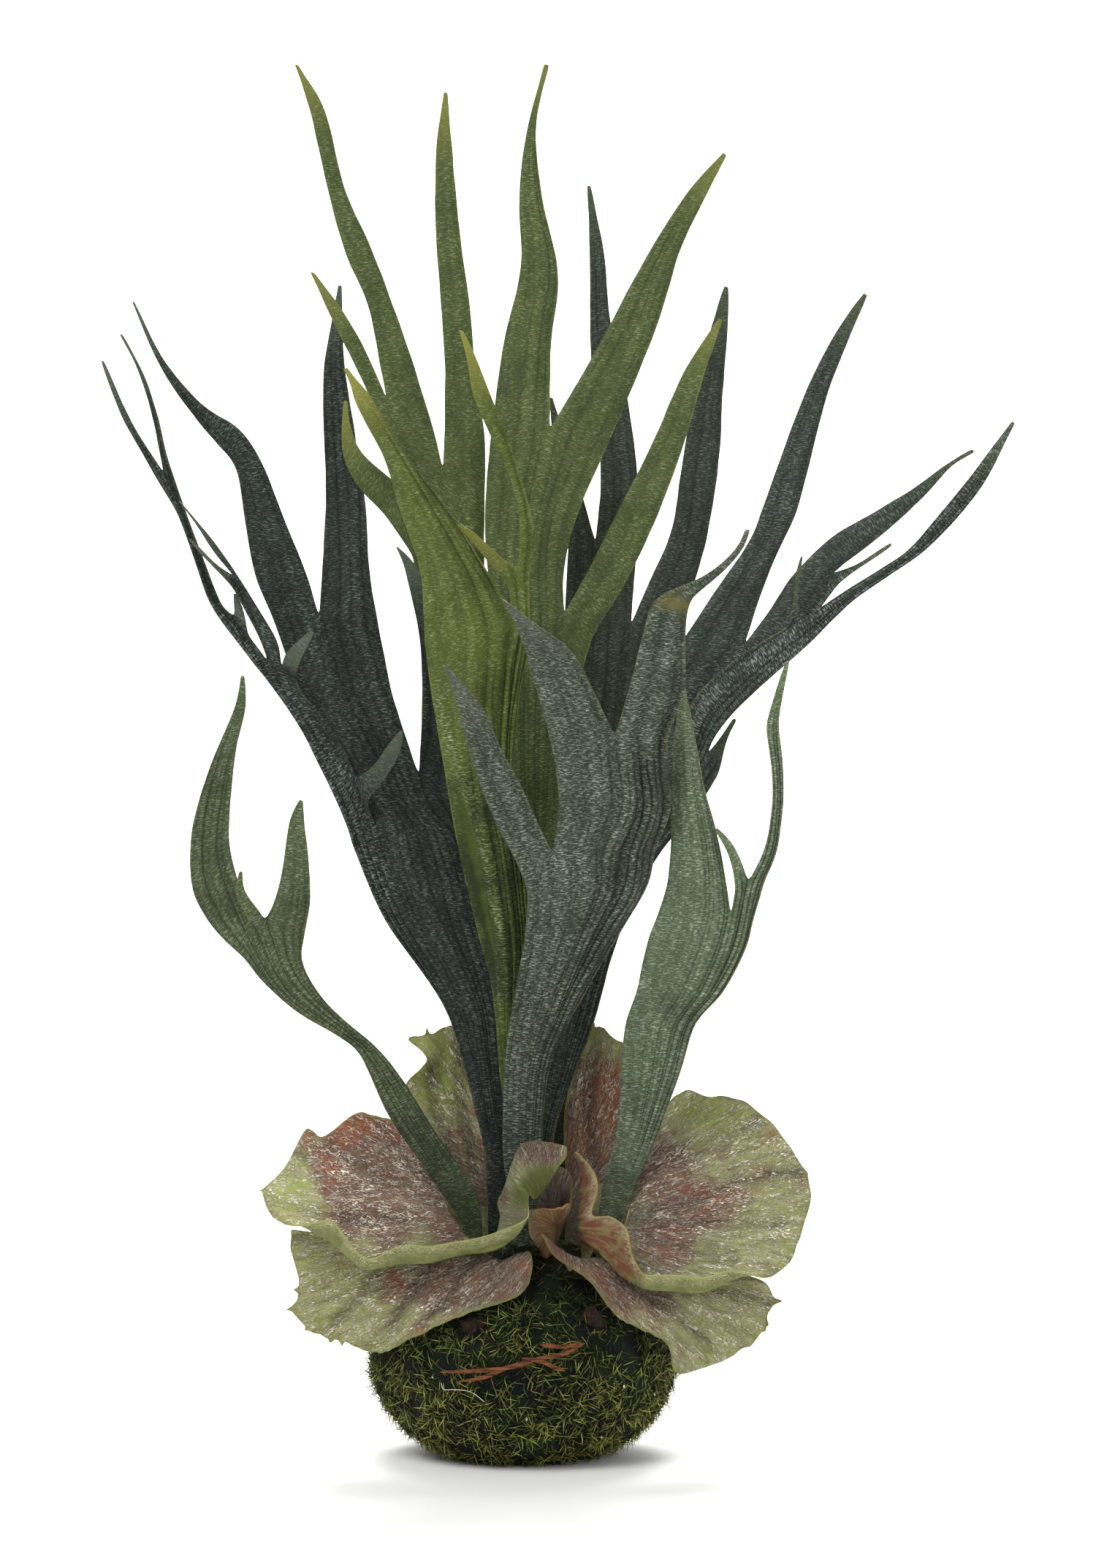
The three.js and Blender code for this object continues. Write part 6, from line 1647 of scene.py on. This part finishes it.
def tube(mesh, points, sizes, sides, flatness=1.0, groove=0.0):
    """A strip along these points. Its rings are wide across the ball and flat against it."""
    rings = []
    for index, (point, size) in enumerate(zip(points, sizes)):
        ahead = points[min(index + 1, len(points) - 1)] - points[max(index - 1, 0)]
        outward = Vector((point.x, point.y, point.z - BALL["z"])).normalized()
        across = ahead.cross(outward).normalized()
        frame_of_ring = Matrix((across, across.cross(ahead).normalized(), ahead.normalized()))
        place = Matrix.Translation(point) @ frame_of_ring.transposed().to_4x4()
        ring = bmesh.ops.create_circle(mesh, segments=sides, radius=1, matrix=place)["verts"]
        for corner, vertex in enumerate(ring):
            away = place.inverted() @ vertex.co
            wide = size * (1 - groove * math.exp(-(abs(away.x) / 0.35) ** 2))
            vertex.co = place @ Vector((away.x * size, away.y * wide * flatness, 0))
        rings.append({edge for vertex in ring for edge in vertex.link_edges})
    for here, there in zip(rings, rings[1:]):
        bmesh.ops.bridge_loops(mesh, edges=list(here | there))
    for end in (rings[0], rings[-1]):
        bmesh.ops.holes_fill(mesh, edges=list(end), sides=sides)
    bmesh.ops.recalc_face_normals(mesh, faces=mesh.faces)


def dry_needle():
    """A fallen needle: it gives the eye a warm red-brown streak across the green."""
    material, add, surface = new_material("dry_conifer_needle")
    spot = add("TexCoord")["Object"]
    laid = add("Mapping", {
        "Vector": spot, "Rotation": (0, math.radians(-12), 0),
        "Scale": (120.0, 900.0, 1800.0)})["Vector"]
    streaks = add("TexNoise", {"Vector": laid, "Scale": 1.0, "Detail": 2.0})["Fac"]
    share = add("MapRange", [streaks, 0.35, 0.65])["Result"]
    colour = add("Mix", {
        SHARE: share, FIRST: linear("#3c2112"), SECOND: linear("#7c4d2e")}, data_type="RGBA")[MIXED]
    finish_surface(surface, colour, {
        "Roughness": 0.7, "Specular IOR Level": 0.15}, height=streaks, depth=0.0003)
    return material


NEEDLES = [
    [(-34.4, 27.8), (-21, 28.2), (-10, 29.5), (-1.7, 31.6)],
    [(-28.4, 24.4), (-20, 25.8), (-12, 29), (-2, 32), (8, 34), (15, 37.6)],
    [(-6.4, 32.6), (0.4, 31.4), (4.6, 29.4), (8.4, 28.2)],
    [(-0.2, 37.2), (7, 36.4), (14.6, 37.4)],
]
NEEDLE_LAYERS = (0.0, 0.35, 0.8, 0.2)

mesh = bmesh.new()
for places, layer in zip(NEEDLES, NEEDLE_LAYERS):
    stops = [on_ball(x, z, NEEDLE_LIFT + layer) for x, z in places]
    count = NEEDLE_STEPS * (len(stops) - 1)
    shares = [step / count for step in range(count + 1)]
    sizes = [NEEDLE_WIDTH * min(1, 0.3 + 5 * share * (1 - share)) for share in shares]
    tube(mesh, route(stops, count), sizes, sides=10, flatness=0.5, groove=0.45)
needles = as_piece(mesh, "dry_conifer_needles", [dry_needle()])
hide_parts("dry_needles")
print("needle triangles:", triangles(needles))

# %% Thread, specks and crumbs
THREAD = [(-34, 24), (-33.2, 21.8), (-29.7, 21.8), (-24, 21), (-19.2, 17.6)]
SPECKS = [(-4.8, 11.6, 0.42), (28.5, 22.9, 0.4), (-22, 11.6, 0.28), (20.8, 5.4, 0.3),
          (39, 20, 0.28), (-37, 26, 0.24)]
SOIL_CRUMBS = [(17.4, 46.4, 3.6), (19.6, 44.2, 2.4), (-23.4, 43.6, 3.2), (-20.5, 44.6, 2.2)]


def plain_stuff(name, dark, light, roughness):
    """Fibre or soil in two tones: it gives the eye small pale specks and dark clods."""
    material, add, surface = new_material(name)
    spot = add("TexCoord")["Object"]
    grain = add("TexNoise", {"Vector": spot, "Scale": 700.0, "Detail": 4.0, "Roughness": 0.7})["Fac"]
    share = add("MapRange", [grain, 0.38, 0.64])["Result"]
    colour = add("Mix", {
        SHARE: share, FIRST: linear(dark), SECOND: linear(light)}, data_type="RGBA")[MIXED]
    finish_surface(surface, colour, {
        "Roughness": roughness, "Specular IOR Level": 0.25}, height=grain, depth=0.0004)
    return material


mesh = bmesh.new()
points = route([on_ball(x, z, 1.6) for x, z in THREAD], THREAD_STEPS)
tube(mesh, points, [THREAD_WIDTH] * len(points), sides=5)
for x, z, size in SPECKS:
    place = Matrix.Translation(on_ball(x, z, 1.2)) @ Matrix.Diagonal((size, size, size * 1.6, 1))
    bmesh.ops.create_icosphere(mesh, subdivisions=1, radius=1, matrix=place)
specks = as_piece(mesh, "white_thread_and_specks", [
    plain_stuff("pale_plant_fibre", "#9d9788", "#d9d5c8", 0.8)])

mesh = bmesh.new()
for x, z, size in SOIL_CRUMBS:
    place = Matrix.Translation(on_ball(x, z, -0.6)) @ Matrix.Diagonal((size, size * 0.8, size, 1))
    crumb = bmesh.ops.create_icosphere(mesh, subdivisions=3, radius=1, matrix=place)["verts"]
    middle = place.to_translation()
    for vertex in crumb:
        swell = 1 + 0.4 * noise.noise(vertex.co / 1.3) + 0.35 * noise.noise(vertex.co / 0.6)
        vertex.co = middle + (vertex.co - middle) * swell
crumbs = as_piece(mesh, "brown_soil_crumbs", [
    plain_stuff("crumbly_brown_soil", "#100a07", "#33221a", 0.9)])
print("bits:", specks.name, crumbs.name)

# %% [markdown]
# ## Floor and light
#
# The plant stands on a pale floor that curves up into a backdrop, so no line crosses the view.
# The light is soft and comes mostly from the front: a large lamp high on the left, a weaker one
# on the right, and a white sky that fills the shadows. One more lamp keeps the backdrop white.

# %% Stage
STAGE_WIDTH = 6000
STAGE_FRONT = -2600
STAGE_BACK = 2600
STAGE_HEIGHT = 3000

floor_mesh = bmesh.new()
corners = [floor_mesh.verts.new((side * STAGE_WIDTH / 2, STAGE_FRONT, 0)) for side in (-1, 1)]
front_edge = floor_mesh.edges.new(corners)
back = extruded(floor_mesh, [front_edge])
bmesh.ops.translate(floor_mesh, verts=back, vec=(0, STAGE_BACK - STAGE_FRONT, 0))
back_edge = next(edge for edge in floor_mesh.edges if set(edge.verts) == set(back))
top = extruded(floor_mesh, [back_edge])
bmesh.ops.translate(floor_mesh, verts=top, vec=(0, 0, STAGE_HEIGHT))
bmesh.ops.bevel(floor_mesh, geom=[back_edge], offset=900, segments=24, profile=0.5, affect="EDGES")
bmesh.ops.recalc_face_normals(floor_mesh, faces=floor_mesh.faces)

# Matt white paper: it gives the eye an empty, even ground without a horizon
paper, add, paper_surface = new_material("pale_backdrop_paper")
paper_spot = add("TexCoord")["Object"]
paper_grain = add("TexNoise", {"Vector": paper_spot, "Scale": 3.0})["Fac"]
paper_colour = add("Mix", {
    SHARE: paper_grain, FIRST: linear("#f4f4f2"), SECOND: linear("#fafaf9")}, data_type="RGBA")[MIXED]
finish_surface(paper_surface, paper_colour, {"Roughness": 0.9, "Specular IOR Level": 0.1})

floor = as_object(floor_mesh, "backdrop", [paper])
floor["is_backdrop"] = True
print("backdrop faces:", len(floor.data.polygons))

# %% Light
def lamp(name, place, aim, size, power):
    """A square area lamp at this place, in metres, that faces another."""
    data = bpy.data.lights.new(name, "AREA")
    data.shape = "SQUARE"
    data.size = size
    data.energy = power
    light = bpy.data.objects.new(name, data)
    light.location = place
    towards = Vector(aim) - Vector(place)
    light.rotation_euler = towards.to_track_quat("-Z", "Y").to_euler()
    bpy.context.scene.collection.objects.link(light)


PLANT = (0, 0, 0.22)
lamp("key_light", (-0.9, -1.6, 2.1), PLANT, 1.3, 44)
lamp("fill_light", (1.6, -1.7, 0.9), PLANT, 1.2, 11)
lamp("rim_light", (0.4, 1.1, 1.6), PLANT, 1.0, 10)
lamp("backdrop_light", (0, 1.4, 2.4), (0, 2.4, 0.3), 1.6, 95)

world = bpy.data.worlds.new("white_sky")
world.use_nodes = True
sky = world.node_tree.nodes["Background"]
sky.inputs["Color"].default_value = linear("#ffffff")
sky.inputs["Strength"].default_value = 0.42
bpy.context.scene.world = world
bpy.context.scene.view_settings.view_transform = "Standard"
print("lamps:", [item.name for item in bpy.data.lights])

# %% [markdown]
# ## Sizes
#
# The finished leaves must keep inside the box that the solids fill, so both boxes are printed.

# %% Print the sizes
def plain(box):
    return [[round(number, 5) for number in corner] for corner in box]


sizes = {"cad": plain(cad_box), "visual": plain(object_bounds())}


print(sizes)
